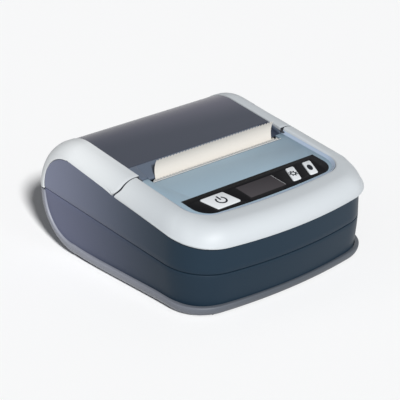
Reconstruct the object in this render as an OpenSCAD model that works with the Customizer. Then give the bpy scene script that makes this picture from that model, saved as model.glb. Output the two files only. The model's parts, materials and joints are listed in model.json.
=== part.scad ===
// Portable thermal printer for 80 mm rolls, with a rear-hinged media cover.
// Millimetres. Origin at the bottom centre of the overall box, X right, Y to the rear, Z up.

/* [Paper] */
// Width of the paper
paper_w = 79.5; // [76:0.5:80]
// Thickness of the paper
paper_t = 0.12; // [0.1:0.01:0.16]
// Outer diameter of the loaded roll
roll_d = 40; // [24:1:46]
// Outer diameter of the cardboard core
core_d = 17; // [14:0.5:19]
// Bore of the cardboard core
core_bore = 12.7; // [10:0.1:13]
// Height of the paper tail above the slot
tail_h = 10.2; // [6:0.1:12]
// Pitch of the torn teeth on the tail
tail_pitch = 2; // [1.5:0.1:3]
// Gap between the sheet and the parts that guide it
web_gap = 0.12; // [0.1:0.01:0.14]

/* [Case] */
// Width of the dark housing
case_w = 124; // [122:0.5:128]
// Overall depth from the lip to the rear bumper
case_d = 133; // [131:0.5:138]
// Wall of the plastic shells
wall = 2.4; // [2:0.1:2.6]
// How far the white lip stands in front of the dark housing
lip_overhang = 2; // [1:0.1:2.6]
// How far the white shell stands out at each side
side_overhang = 0.5; // [0.2:0.1:0.8]
// Radius of the dark housing's front corners seen from above
corner_r = 24; // [21:0.5:25]
// Radius of the white lip's front corners seen from above
lip_corner_r = 22.5; // [20:0.5:24]
// Bow of the front face across its width
front_bow = 2.9; // [1.5:0.1:4]
// Radius of the rounded rear end
drum_r = 30.5; // [30:0.1:31]
// Height of the rear end's axis
drum_z = 30.6; // [30.3:0.1:31.2]
// Radius of the cover's rounded rear end
top_drum_r = 26.2; // [25.6:0.1:27]
// How far the cover's rear end stays inside the lower one
top_inset = 0.4; // [0.2:0.1:0.6]
// Height of the top line at the middle of the depth
crown_base = 56.12; // [55.8:0.02:56.4]
// Rise of the top towards the rear, in degrees
crown_slope = 8.65; // [8.3:0.05:9]
// Edge rounding of the white top
top_round = 11; // [9:0.5:12]
// Edge rounding of the lower housing
low_round = 5.5; // [4:0.5:7]
// Rounding of the white nose in front
nose_r = 8; // [6:0.5:9]
// Width of each white shoulder
shoulder_w = 13.5; // [12:0.25:14]
// Dark gap line between shells
line_gap = 0.4; // [0.3:0.05:0.5]

/* [Dividing lines] */
// Height of the housing seam at the middle of the depth
seam_z = 28; // [27:0.25:29]
// Rise of the housing seam, in degrees
seam_slope = 5.4; // [5:0.1:6]
// Height of the white band's lower edge at the middle of the depth
band_z = 47.65; // [47:0.1:48.2]
// Rise of the white band's lower edge, in degrees
band_slope = 10; // [9.5:0.1:10.5]
// Radius of the dark side panel's upper rear corner
band_r = 19; // [17:0.5:20]
// Depth position of that corner's centre
band_y = 38.8; // [37:0.2:40]
// Depth position of the cover split at the window edge
split_y = -3.4; // [-4:0.1:-3]
// Rearward run of the split per millimetre of width
split_run = 0.23; // [0.1:0.01:0.3]

/* [Bumper and feet] */
// Height of the bumper band on the sides
bumper_h = 5.5; // [4.5:0.25:6.5]
// How far the bumper stands proud
bumper_proud = 0.5; // [0.3:0.1:0.7]
// Depth of the bumper's seat in the tray
bumper_t = 1.2; // [1:0.1:1.4]
// Radius of the dark panel's lower rear corner
panel_r = 26; // [24:0.5:27]
// Height of the rubber feet
foot_h = 1.2; // [1:0.1:1.6]
// Diameter of the rubber feet
foot_d = 9; // [7:0.5:10]
// Half the distance between the left and right feet
foot_x = 47.5; // [46:0.5:49]
// Depth position of the front feet
foot_front_y = -30; // [-32:1:-26]
// Depth position of the rear feet
foot_rear_y = 27; // [24:1:29]

/* [Fascia] */
// Height of the fascia plane at the middle of the depth
fascia_z = 53.5; // [53:0.1:53.8]
// Rise of the fascia, in degrees
fascia_slope = 7.2; // [7:0.1:7.6]
// Half width of the fascia
fascia_hw = 49.5; // [49:0.1:50]
// Depth position of the fascia's front edge
fascia_front = -51; // [-52:0.1:-50.4]
// Corner radius of the fascia
fascia_r = 13; // [11:0.5:14]
// Plate thickness of the fascia
fascia_t = 1.8; // [1.6:0.1:2]
// Half width of the black strip
strip_hw = 45; // [44:0.25:45.5]
// Depth position of the strip's rear edge
strip_rear = -30; // [-31:0.1:-29]
// Depth position of the strip's front edge
strip_front = -48.9; // [-49.2:0.1:-48.4]
// Corner radius of the strip
strip_r = 9.5; // [8:0.5:11]
// Thickness of the strip
strip_t = 0.9; // [0.7:0.1:1.1]
// Half width of the display window
lcd_hw = 12.1; // [10:0.1:12.6]
// Depth of the display window
lcd_d = 11.5; // [9:0.1:12]
// Position of the display across the panel
lcd_x = -0.85; // [-2:0.05:1]
// Clearance around the keys
key_gap = 0.25; // [0.2:0.05:0.35]
// How far the keys stand proud
key_proud = 0.5; // [0.3:0.1:0.9]
// Travel of the keys
key_travel = 0.5; // [0.4:0.05:0.55]
// Depth of a key from rear to front
key_d = 11.4; // [10:0.1:12]
// Width of the power key
power_w = 15; // [13:0.1:16]
// Width of the small keys
small_key_w = 5.6; // [5:0.1:6.4]

/* [Print mechanism] */
// Outer radius of the rubber platen
platen_r = 4.3; // [4:0.05:4.5]
// Radius of the platen shaft
shaft_r = 2; // [1.8:0.1:2.4]
// Height of the platen axis
platen_z = 44; // [43.6:0.1:44.2]
// Radius of the platen bushes
bush_r = 3; // [2.8:0.05:3.2]
// Depth position of the paper slot
slot_y = -5.05; // [-5.2:0.05:-4.9]
// Running clearance on shafts
run_gap = 0.05; // [0.03:0.01:0.08]
// Gear module
gear_m = 0.6; // [0.58:0.01:0.62]
// Gear width
gear_w = 3; // [2:0.25:3.5]
// Radius of the motor can
motor_r = 9; // [7:0.25:9]
// Length of the motor can
motor_l = 18; // [12:1:20]
// Thickness of the frame's side cheeks
cheek_t = 2; // [1.6:0.1:2.2]

/* [Media bay] */
// Inner radius of the bay
bay_r = 26; // [24:0.25:26]
// Depth position of the bay's axis
bay_y = 33; // [32.5:0.25:33.5]
// Wall of the bay
bay_t = 1.6; // [1.4:0.1:1.8]
// Side clearance between the roll and the bay
bay_gap = 1.15; // [1:0.05:1.3]

/* [Cover and hinge] */
// Height of the hinge axis
hinge_z = 35.2; // [35:0.1:35.6]
// Depth of the hinge axis inside the rear surface
hinge_in = 2.9; // [2.8:0.05:3.1]
// Radius of the hinge pin
pin_r = 1; // [0.9:0.05:1.1]
// Thickness of the window
window_t = 2.2; // [1.8:0.1:2.3]
// How far the window lies below the white shoulders
window_drop = 0.3; // [0.1:0.05:0.5]
// Depth position where the front lip of the cover meets the window
lip_top_y = 6; // [5:0.1:7]
// Travel of the release button
release_travel = 1.2; // [1:0.1:1.3]
// Length of the release button
release_l = 20; // [16:0.5:22]
// Height of the release button
release_h = 5.4; // [4:0.2:5.8]
// Depth position of the release button
release_y = 18; // [17:0.25:19]

/* [Battery and boards] */
// Width of the battery pack
battery_w = 46; // [40:0.5:47]
// Depth of the battery pack
battery_d = 31; // [28:0.5:32]
// Height of the battery pack
battery_h = 15; // [12:0.5:16]
// Thickness of the circuit boards
board_t = 1.2; // [1:0.1:1.6]
// Height of the main board's underside
board_z = 11; // [10:0.25:12]
// Width of the USB socket
usb_w = 9; // [8.6:0.1:9.4]
// Height of the USB socket
usb_h = 3.2; // [3:0.05:3.4]
// Depth position of the USB socket
usb_y = -36; // [-36.5:0.5:-34.5]

/* [Hidden] */
$fn = 64;

dark = "slategray";
slate = "lightslategray";
white = "whitesmoke";
big = 300;
hw = case_w/2;
front_y = -case_d/2 + lip_overhang;
drum_y = case_d/2 - bumper_proud - drum_r;
top_drum_y = drum_y + drum_r - top_inset - top_drum_r;
top_drum_z = crown_z(top_drum_y) - top_drum_r/cos(crown_slope);
inner_hw = hw - shoulder_w;
floor_z = foot_h + wall;
half_gap = line_gap/2;
band_cz = band_z + band_y*tan(band_slope) - band_r/cos(band_slope);
hinge_y = top_drum_y + top_drum_r - hinge_in;
hinge_r = hinge_in - 0.4;
relief = hinge_in + 0.05;
platen_y = slot_y + paper_t/2 + web_gap + platen_r;
seat_lean = atan2(platen_z - hinge_z, hinge_y - platen_y);
bay_z = floor_z + bay_t + bay_r;
roll_z = bay_z - bay_r + roll_d/2 + 0.3;
bay_hw = paper_w/2 + bay_gap;
cheek_x = paper_w/2 + 2.75;
gear_x = cheek_x + cheek_t + 0.5;
panel_y = -39.5;
key_top = panel_y + 5.6;
platen_teeth = 20;
idler_teeth = 30;
pinion_teeth = 14;
idler_dir = 80;
motor_dir = idler_dir + 12*360/idler_teeth;
idler_y = platen_y - pitch_r(platen_teeth + idler_teeth)*cos(idler_dir);
idler_z = platen_z - pitch_r(platen_teeth + idler_teeth)*sin(idler_dir);
motor_y = idler_y + pitch_r(idler_teeth + pinion_teeth)*cos(motor_dir);
motor_z = idler_z + pitch_r(idler_teeth + pinion_teeth)*sin(motor_dir);
axle_r = 1;
pack_x = -16;
pack_y = -38;
bay_wall = 1.2;
door_gap = 0.2;
door_hinge_y = pack_y + battery_d/2 + 2.2;
door_front_y = pack_y - battery_d/2 - 1.2;
door_hw = battery_w/2 + 1.2;
screw_x = hw - 11;
screw_front_y = -45;
screw_rear_y = 14;
frame_front_y = -19;
frame_rear_y = 7;
frame_z = 9;
frame_t = 1.6;
board_x0 = 14;
board_x1 = hw - 5;
board_y0 = -58;
board_y1 = -27;
lever_x = hw - 10;
lever_z = 50;
release_z = crown_z(release_y) - 4;
shelf_z = lever_z - 4.4;

function pitch_r(teeth) = gear_m*teeth/2;
function crown_z(y) = crown_base + y*tan(crown_slope);
function seam_at(y) = seam_z + y*tan(seam_slope);
function band_at(y) = band_z + y*tan(band_slope);
function fascia_at(y) = fascia_z + y*tan(fascia_slope);
function split_at(x) = split_y + split_run*(x - inner_hw);

// Helpers: extrude a depth-height outline across the width, or a width-height outline in depth
module along_x(w, x0=0) translate([x0, 0, 0]) rotate([90, 0, 90]) linear_extrude(w, center=true) children();
module along_y(d) rotate([90, 0, 0]) linear_extrude(d, center=true) children();
module x_rod(r, x0, x1, y, z) translate([x0, y, z]) rotate([0, 90, 0]) cylinder(r=r, h=x1 - x0);
module box(x0, x1, y0, y1, z0, z1) translate([x0, y0, z0]) cube([x1 - x0, y1 - y0, z1 - z0]);
module on_fascia() translate([0, panel_y, fascia_at(panel_y)]) rotate([fascia_slope, 0, 0]) children();
module plate(z0, z1) translate([0, 0, z0]) linear_extrude(z1 - z0) children();
module both_sides() for (s = [0, 1]) mirror([s, 0, 0]) children();

// Outline with a gently bowed front, tangent corner arcs and straight sides, drawn in by i
module bowed(w, yf, r, bow, yr, i=0) {
    half = w - r;
    bow_r = (half*half + bow*bow)/(2*bow);
    cy = yf + bow_r;
    yc = cy - sqrt(pow(bow_r - r, 2) - half*half);
    lean = atan2(half, cy - yc);
    corner = [for (k = [0 : 14]) let (a = (lean - 90)*k/14) [half + (r - i)*cos(a), yc + (r - i)*sin(a)]];
    front = [for (k = [1 : 13]) let (a = lean - 2*lean*k/14) [(bow_r - i)*sin(a), cy - (bow_r - i)*cos(a)]];
    polygon(concat([[w - i, yr]], corner, front, [for (k = [14 : -1 : 0]) [-corner[k][0], corner[k][1]]],
        [[i - w, yr]]));
}
module case_plan(i=0) bowed(hw, front_y, corner_r, front_bow, 80, i);
module lip_plan(i=0) bowed(hw + side_overhang, -case_d/2, lip_corner_r, front_bow, 80, i);

// Depth-height outline under the sloping crown and round the cover's rear end
module crown_side(i=0) {
    translate([top_drum_y, top_drum_z]) circle(top_drum_r - i, $fn=128);
    polygon([[-80, 0], [top_drum_y, 0], [top_drum_y, top_drum_z],
        [top_drum_y - (top_drum_r - i)*sin(crown_slope), top_drum_z + (top_drum_r - i)*cos(crown_slope)],
        [-80, crown_z(-80) - i/cos(crown_slope)]]);
}
// Half sections in width
module rounded_bar(w, top, depth, r) {
    translate([-w, top - depth]) square([2*w, depth - r]);
    translate([-w + r, top - depth]) square([2*(w - r), depth]);
    for (s = [-1, 1]) translate([s*(w - r), top - r]) circle(r);
}
module drum(r, w, edge, y, z) translate([0, y, z]) rotate([0, 90, 0]) rotate_extrude($fn=128) {
    translate([0, -w]) square([r - edge, 2*w]);
    translate([0, -w + edge]) square([r, 2*(w - edge)]);
    for (s = [-1, 1]) translate([r - edge, s*(w - edge)]) circle(edge, $fn=48);
}
module crown_bar(i=0) translate([0, 0, crown_z(0)]) rotate([crown_slope, 0, 0])
    along_y(big) rounded_bar(hw + side_overhang - i, -i*1, 80, top_round - i);

// Outer form of the white top behind the split, and of the bezel in front
module crown_axes() translate([0, top_drum_y, top_drum_z]) rotate([crown_slope, 0, 0]) children();
module top_form(i=0) {
    intersection() {
        drum(top_drum_r - i, hw + side_overhang - i, top_round - i, top_drum_y, top_drum_z);
        crown_axes() box(-80, 80, 0, 80, -80, 80);
    }
    crown_axes() translate([0, -60, 0]) along_y(120)
        rounded_bar(hw + side_overhang - i, top_drum_r - i, 60, top_round - i);
}
module nose_side(i=0) {
    cz = crown_z(-case_d/2 + nose_r) - nose_r/cos(crown_slope);
    difference() {
        crown_side(i);
        translate([-100, -1]) square([100 - case_d/2 + nose_r, cz + 80]);
    }
    translate([-case_d/2 + nose_r, cz]) circle(nose_r - i);
    translate([-case_d/2 + i, 0]) square([nose_r, cz]);
}
module bezel_form(i=0) intersection() {
    along_x(big) nose_side(i);
    crown_bar(i);
    linear_extrude(80) lip_plan(i);
}
// Outer form of the lower housing
module low_form(i=0) intersection() {
    union() {
        drum(drum_r - i, hw - i, low_round - i, drum_y, drum_z);
        intersection() {
            box(-hw, hw, front_y - 2, drum_y, 0, 60);
            linear_extrude(60) case_plan(i);
            translate([0, 0, drum_z - drum_r + i]) mirror([0, 0, 1])
                along_y(big) rounded_bar(hw - i, 0, 80, low_round - i);
        }
    }
    box(-80, 80, -80, 80, foot_h + min(i, wall), 60);
}

// Zones on either side of the dividing lines
module under_seam(drop) along_x(big) polygon([[-90, seam_at(-90) - drop], [90, seam_at(90) - drop], [90, -20],
    [-90, -20]]);
module panel_side(grow=0) {
    difference() {
        polygon([[-90, seam_at(-90)], [band_y, seam_at(band_y)], [band_y, band_at(band_y) + grow],
            [-90, band_at(-90) + grow]]);
    }
    translate([band_y, band_cz]) circle(band_r + grow*cos(band_slope));
}
module below_band(grow) along_x(big) polygon([[-90, band_at(-90) + grow], [band_y, band_at(band_y) + grow],
    [band_y, -20], [-90, -20]]);
module above_seam_side(lift) polygon([[-90, seam_at(-90) + lift], [90, seam_at(90) + lift], [90, 90], [-90, 90]]);
module bumper_zone() difference() {
    along_x(big) difference() {
        translate([-90, 0]) square([180, 60]);
        translate([-90, bumper_h]) square([90 + drum_y, 60]);
        translate([drum_y, drum_z]) circle(panel_r);
    }
    intersection() {
        linear_extrude(20) case_plan(low_round + 0.2);
        box(-80, 80, -80, drum_y, -1, 20);
    }
    box(-inner_hw, inner_hw, drum_y - 0.01, 80, -1, 60);
}
module hinge_relief() box(-80, 80, hinge_y - hinge_in - 0.4, 80, hinge_z - relief, 80);
module behind_split(gap) linear_extrude(90) polygon([[-90, split_at(90) + gap], [-inner_hw, split_y + gap],
    [inner_hw, split_y + gap], [90, split_at(90) + gap], [90, 90], [-90, 90]]);

// Lower housing
module screw_posts() for (x = [-screw_x, screw_x], y = [screw_front_y, screw_rear_y])
    translate([x, y, floor_z - 0.5]) children();
module frame_posts() for (x = [-39, 39], y = [-17, 4]) translate([x, y, 0]) children();
module board_posts() for (p = [[19, -53], [44, -31]]) translate([p[0], p[1], 0]) children();
module battery_box(grow, top) box(pack_x - battery_w/2 - 0.5 - grow, pack_x + battery_w/2 + 0.5 + grow,
    pack_y - battery_d/2 - 0.5 - grow, pack_y + battery_d/2 + 0.5 + grow, foot_h, floor_z + battery_h + top);
module usb_slot(grow) translate([0, usb_y, board_z + board_t + usb_h/2]) rotate([90, 0, 90])
    linear_extrude(big) {
        square([usb_w - usb_h, usb_h + 2*grow], center=true);
        for (s = [-1, 1]) translate([s*(usb_w - usb_h)/2, 0]) circle(usb_h/2 + grow);
    }
module base_tray() color(dark) difference() {
    union() {
        difference() {
            low_form();
            low_form(wall);
            intersection() {
                difference() {
                    low_form(-2);
                    low_form(bumper_t);
                }
                bumper_zone();
            }
            along_x(big) above_seam_side(-half_gap);
        }
        intersection() {
            difference() {
                low_form(wall/2 + 0.1);
                low_form(wall);
            }
            under_seam(-wall);
            along_x(big) above_seam_side(-3);
            box(-80, 80, -80, band_y, 0, 60);
        }
        intersection() {
            union() {
                screw_posts() cylinder(r=3.5, h=40);
                for (s = [-1, 1], y = [screw_front_y, screw_rear_y])
                    box(min(s*screw_x, s*(hw - wall/2 - 1)), max(s*screw_x, s*(hw - wall/2 - 1)), y - 1, y + 1,
                        floor_z - 1, 40);
            }
            under_seam(half_gap);
            low_form(wall - 0.5);
        }
        intersection() {
            frame_posts() cylinder(r=3, h=frame_z);
            low_form(wall - 0.5);
        }
        intersection() {
            board_posts() cylinder(r=2.6, h=board_z);
            low_form(wall - 0.5);
        }
        battery_box(bay_wall, 0.5 + bay_wall);
        for (x = [-32, 32]) difference() {
            along_x(4, x) {
                translate([hinge_y, hinge_z]) circle(2.3);
                intersection() {
                    polygon([[hinge_y - 1.2, hinge_z], [hinge_y + 2.1, hinge_z], [hinge_y + 1.9, hinge_z - 8],
                        [hinge_y - 2, hinge_z - 8]]);
                    translate([drum_y, drum_z]) circle(drum_r - 0.6);
                }
            }
        }
    }
    for (s = [-1, 1]) intersection() {
        hinge_relief();
        box(min(s*34, s*80), max(s*34, s*80), 0, 80, 0, 80);
    }
    intersection() {
        hinge_relief();
        box(-30, 30, 0, 80, 0, 80);
    }
    x_rod(pin_r, -40, 40, hinge_y, hinge_z);
    battery_box(0, 0.5);
    box(pack_x - door_hw - door_gap, pack_x + door_hw + door_gap, door_front_y - door_gap,
        door_hinge_y, -1, floor_z + 0.01);
    x_rod(wall/2 + door_gap, pack_x - door_hw - door_gap, pack_x + door_hw + door_gap, door_hinge_y, foot_h + wall/2);
    x_rod(0.9 + run_gap, pack_x - door_hw - 2, pack_x + door_hw + 2, door_hinge_y, foot_h + wall/2);
    box(pack_x - door_hw - door_gap, pack_x + door_hw + door_gap, door_hinge_y - 0.01,
        door_hinge_y + wall/2 + door_gap, -1, foot_h + wall/2);
    screw_posts() {
        translate([0, 0, -10]) cylinder(r=1.6, h=60);
        translate([0, 0, -10]) cylinder(r=3, h=11.5);
    }
    frame_posts() translate([0, 0, floor_z + 1]) cylinder(r=axle_r, h=20);
    board_posts() translate([0, 0, floor_z + 1]) cylinder(r=axle_r, h=20);
    translate([hw - 6, 0, 0]) usb_slot(0.3);
    for (x = [-foot_x, foot_x], y = [foot_front_y, foot_rear_y])
        translate([x, y, 0]) cylinder(d=foot_d - 2, h=foot_h + 0.8);
}
module bottom_bumper() color("thistle") difference() {
    intersection() {
        difference() {
            low_form(-bumper_proud);
            low_form(bumper_t);
        }
        bumper_zone();
        under_seam(half_gap);
        box(-80, 80, -80, 80, foot_h, 60);
    }
    hinge_relief();
}
module rubber_feet() color("dimgray")
    for (x = [-foot_x, foot_x], y = [foot_front_y, foot_rear_y]) translate([x, y, 0]) {
        cylinder(d=foot_d, h=foot_h);
        cylinder(d=foot_d - 2, h=foot_h + 0.8);
    }

// Upper housing: dark U-shaped wall, white bezel and fascia
module mid_housing() color(dark) difference() {
    union() {
        intersection() {
            linear_extrude(80) difference() {
                case_plan();
                case_plan(wall);
            }
            along_x(big) intersection() {
                panel_side();
                above_seam_side(half_gap);
            }
        }
        intersection() {
            union() {
                screw_posts() cylinder(r=3.5, h=36 - floor_z);
                for (s = [-1, 1], y = [screw_front_y, screw_rear_y])
                    box(min(s*screw_x, s*(hw - 1)), max(s*screw_x, s*(hw - 1)), y - 1, y + 1, 20, 36);
            }
            along_x(big) above_seam_side(half_gap);
            linear_extrude(80) case_plan(1);
        }
    }
    difference() {
        intersection() {
            low_form(wall/2);
            along_x(big) above_seam_side(-1);
        }
        along_x(big) above_seam_side(wall + 0.2);
        screw_posts() cylinder(r=3.5, h=60);
    }
    screw_posts() cylinder(r=1.25, h=33 - floor_z);
}
module fascia_outline(i=0) difference() {
    bowed(fascia_hw, fascia_front - panel_y, fascia_r, 2, split_y - 0.1 - panel_y, i);
    translate([-bay_hw - 3 - i, slot_y - 2.3 - panel_y - i]) square([2*(bay_hw + 3 + i), 20]);
}
module fascia_hole(i=0) bowed(fascia_hw, fascia_front - panel_y, fascia_r, 2, split_y + 20 - panel_y, i);
module top_bezel() color(white) intersection() {
    difference() {
        union() {
            difference() {
                bezel_form();
                bezel_form(wall);
                on_fascia() plate(-30, 30) fascia_hole(-0.15);
            }
            intersection() {
                bezel_form();
                on_fascia() plate(-fascia_t - 1.6, 8) difference() {
                    fascia_hole(-1.75);
                    fascia_hole(-0.15);
                }
            }
            on_fascia() plate(-fascia_t - 1.6, -fascia_t - 0.05) difference() {
                fascia_hole(-0.5);
                fascia_hole(2);
            }
            intersection() {
                linear_extrude(80) difference() {
                    case_plan(wall + 0.1);
                    case_plan(wall + 1.6);
                }
                bezel_form(wall - 0.5);
                box(-80, 80, -80, split_y - 6, 0, 80);
                along_x(big) polygon([[-90, band_at(-90) - 2.5], [90, band_at(90) - 2.5], [90, 90], [-90, 90]]);
            }
        }
        difference() {
            below_band(half_gap);
            linear_extrude(80) case_plan(wall + 0.05);
        }
        under_seam(-6);
        x_rod(pitch_r(platen_teeth) + gear_m + 0.4, gear_x - 0.4, gear_x + gear_w + 0.4, platen_y, platen_z);
    }
    difference() {
        box(-80, 80, -80, 30, 20, 90);
        behind_split(0);
    }
}
module key_shape(x, w, lean, i=0) translate([x, key_top - panel_y - key_d/2])
    polygon([for (c = [[-1, 1], [1, 1], [1, -1], [-1, -1]])
        [c[0]*(w/2 - i) + lean*c[1]*(key_d/2 - i)/key_d, c[1]*(key_d/2 - i)]]);
module power_shape(i=0) key_shape(-28, power_w, -2.4, i);
module setup_shape(i=0) key_shape(21.6, small_key_w, 5.2, i);
module feed_shape(i=0) key_shape(33.5, small_key_w, 5.2, i);
module all_keys(i=0) {
    power_shape(i);
    setup_shape(i);
    feed_shape(i);
}
module lcd_shape(i=0) translate([lcd_x - lcd_hw + i, key_top - panel_y - lcd_d - 0.2 + i])
    square([2*(lcd_hw - i), lcd_d - 2*i]);
module strip_shape(i=0) bowed(strip_hw, strip_front - panel_y, strip_r, 1.5, strip_rear - panel_y - i, i);
module control_fascia() color("lightsteelblue") difference() {
    union() {
        on_fascia() plate(-fascia_t, 0) fascia_outline();
        on_fascia() for (x = [-41.8, 41.8]) translate([x, 6.5, -6.8]) cylinder(r=1.6, h=6);
        on_fascia() for (x = [-5.5, 7]) translate([x + lcd_x, -8, -6.8]) cylinder(r=1.1, h=6);
        intersection() {
            on_fascia() plate(-4.6, -0.1) translate([-bay_hw - 2.8, slot_y - 4.2 - panel_y])
                square([2*bay_hw + 5.6, 2.5]);
            box(-80, 80, -80, slot_y - 2.1, 0, 80);
        }
    }
    on_fascia() plate(-strip_t, 2) strip_shape(-0.05);
    on_fascia() plate(-5, 2) {
        all_keys(-key_gap);
        lcd_shape(-0.6);
    }
}
module panel_overlay() color("black") on_fascia() difference() {
    plate(-strip_t, 0) strip_shape();
    plate(-5, 2) {
        all_keys(-key_gap);
        lcd_shape(-0.05);
    }
}
module lcd_lens() color("darkslategray") on_fascia() plate(-strip_t, 0) lcd_shape();
module lcd_module() color("dimgray") on_fascia() {
    plate(-3.4, -strip_t - 0.1) lcd_shape(0.3);
    plate(-6.8, -3.4) lcd_shape(1.2);
}
module key_board() color("seagreen") on_fascia() difference() {
    plate(-6.8 - board_t, -6.8) translate([-44, -10.4]) square([88, 19.6]);
    for (x = [-41.8, 41.8]) translate([x, 6.5, -12]) cylinder(r=0.9, h=12);
}
module tact_switches() color("silver") on_fascia() for (x = [-28, 21.6, 33.5])
    translate([x, key_top - panel_y - key_d/2, -6.8]) {
        translate([-2.4, -2.4, 0]) cube([4.8, 4.8, 1.6]);
        cylinder(r=1.1, h=2.1);
    }
module key_cap(x) color("gainsboro") on_fascia() {
    plate(-fascia_t - 0.05, key_proud) children(0);
    plate(-fascia_t - 0.85, -fascia_t - 0.05) children(1);
    translate([x, key_top - panel_y - key_d/2, -4.1]) cylinder(r=1.1, h=2);
}
module power_key() key_cap(-28) {
    power_shape();
    power_shape(-0.8);
}
module setup_key() key_cap(21.6) {
    setup_shape();
    setup_shape(-0.8);
}
module feed_key() key_cap(33.5) {
    feed_shape();
    feed_shape(-0.8);
}
module tear_bar() color("silver") translate([0, slot_y - 1.55, 0]) rotate([90, 0, 0]) linear_extrude(0.55) {
    top = fascia_at(slot_y) + 0.1;
    n = floor((paper_w + 6)/tail_pitch);
    pitch = (paper_w + 6)/n;
    translate([-paper_w/2 - 3, top - 5.6]) square([paper_w + 6, 5]);
    for (k = [0 : n - 1]) translate([-paper_w/2 - 3 + k*pitch, top - 0.7])
        polygon([[0, 0], [pitch, 0], [pitch/2, 0.9]]);
}

// Print mechanism
module cheek_side() difference() {
    union() {
        polygon([[frame_front_y, frame_z], [frame_rear_y, frame_z], [frame_rear_y, 36], [platen_y + 5.2, platen_z + 2],
            [platen_y + 5.2, platen_z + 3], [-10.5, platen_z + 3], [-12, 34], [frame_front_y, 32]]);
    }
    translate([platen_y, platen_z]) circle(bush_r + run_gap);
    translate([platen_y, platen_z]) rotate(-seat_lean) translate([-bush_r - run_gap/2, 0])
        square([2*bush_r + run_gap, 20]);
}
module mech_frame() color("gray") difference() {
    union() {
        both_sides() along_x(cheek_t, cheek_x + cheek_t/2) cheek_side();
        box(-cheek_x - 0.01, cheek_x + 0.01, frame_front_y, frame_rear_y, frame_z, frame_z + frame_t);
        box(-cheek_x - 0.01, cheek_x + 0.01, 0.6, 5.2, 33.2, 34.8);
        box(-cheek_x - 0.01, cheek_x + 0.01, -12.4, -11.4, 31, 36);
        x_rod(axle_r, gear_x - 1, gear_x + gear_w + 0.8, idler_y, idler_z);
    }
    both_sides() x_rod(0.8, cheek_x - 4, cheek_x + 4, -8, 33.4);
    x_rod(1.6, cheek_x - 2, cheek_x + 6, motor_y, motor_z);
    frame_posts() cylinder(r=axle_r, h=30);
}
head_face_y = slot_y - paper_t/2 - 0.1;
head_hw = paper_w/2 + 1.6;
module head_board() color("ivory") box(-head_hw, head_hw, head_face_y - 0.7, head_face_y, 36, platen_z + 2.8);
module head_heatsink() color("lightgray") {
    box(-head_hw, head_hw, head_face_y - 3, head_face_y - 0.7, 31.4, platen_z + 2.8);
    both_sides() x_rod(0.8 - run_gap, head_hw - 1, cheek_x + 1.5, -8, 33.4);
    for (k = [-3 : 3]) box(k*10 - 0.6, k*10 + 0.6, head_face_y - 4.4, head_face_y - 2.9, 40, platen_z + 2.4);
}
module head_spring() color("steelblue") {
    tip = head_face_y - 3;
    box(-16, 16, -11.4, -11, 31.5, 35.1);
    for (x = [-10, 10]) along_x(8, x)
        polygon([[-11.4, 35], [-11, 35], [tip, 39.2], [tip, 39.8], [-11.4, 35.4]]);
}
module stepper_motor() color("silver") difference() {
    union() {
        x_rod(motor_r, cheek_x - motor_l, cheek_x, motor_y, motor_z);
        x_rod(motor_r - 2, cheek_x - motor_l - 0.8, cheek_x, motor_y, motor_z);
    }
    x_rod(0.75 + run_gap, cheek_x - 6, cheek_x + 9, motor_y, motor_z);
}

// Involute spur gears
function inv(a) = tan(a)*180/PI - a;
function flank(r, rb, half) = r > rb ? half + inv(20) - inv(acos(rb/r)) : half + inv(20);
function tooth(r, rb, half, ra, rf) = [for (k = [0 : 4]) let (q = rf + (ra - rf)*k/4) [q, flank(q, rb, half)]];
module gear2d(teeth) {
    r = pitch_r(teeth);
    rb = r*cos(20);
    ra = r + 0.85*gear_m;
    rf = r - 1.15*gear_m;
    half = 90/teeth - 0.06/r*180/PI;
    side = tooth(r, rb, half, ra, rf);
    polygon([for (k = [0 : teeth - 1]) let (c = k*360/teeth)
        each concat([for (p = side) [p[0]*cos(c - p[1]), p[0]*sin(c - p[1])]],
            [for (j = [4 : -1 : 0]) let (p = side[j]) [p[0]*cos(c + p[1]), p[0]*sin(c + p[1])]])]);
}
module gear(teeth, turn, y, z, bore) translate([gear_x, y, z]) rotate([90, 0, 90]) linear_extrude(gear_w)
    difference() {
        rotate(turn) gear2d(teeth);
        circle(bore);
    }
module motor_pinion() color("gold") {
    gear(pinion_teeth, motor_dir + 180 + 180/pinion_teeth, motor_y, motor_z, 0.75);
    x_rod(0.75, cheek_x - 5, gear_x + gear_w, motor_y, motor_z);
}
module idler_gear() color("beige") gear(idler_teeth, idler_dir, idler_y, idler_z, axle_r + run_gap);
module platen_gear() color("beige")
    gear(platen_teeth, idler_dir + 180 + 180/platen_teeth, platen_y, platen_z, shaft_r);
module platen_shaft() color("silver") {
    x_rod(shaft_r, -cheek_x - cheek_t - 1.5, gear_x + gear_w + 0.6, platen_y, platen_z);
}
module platen_sleeve() color("dimgray") difference() {
    x_rod(platen_r, -paper_w/2 - 0.3, paper_w/2 + 0.3, platen_y, platen_z);
    x_rod(shaft_r, -60, 60, platen_y, platen_z);
}
module platen_bushes() color("white") both_sides() difference() {
    x_rod(bush_r, cheek_x + 0.1, cheek_x + cheek_t - 0.1, platen_y, platen_z);
    x_rod(shaft_r + run_gap, 30, 60, platen_y, platen_z);
}

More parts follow.
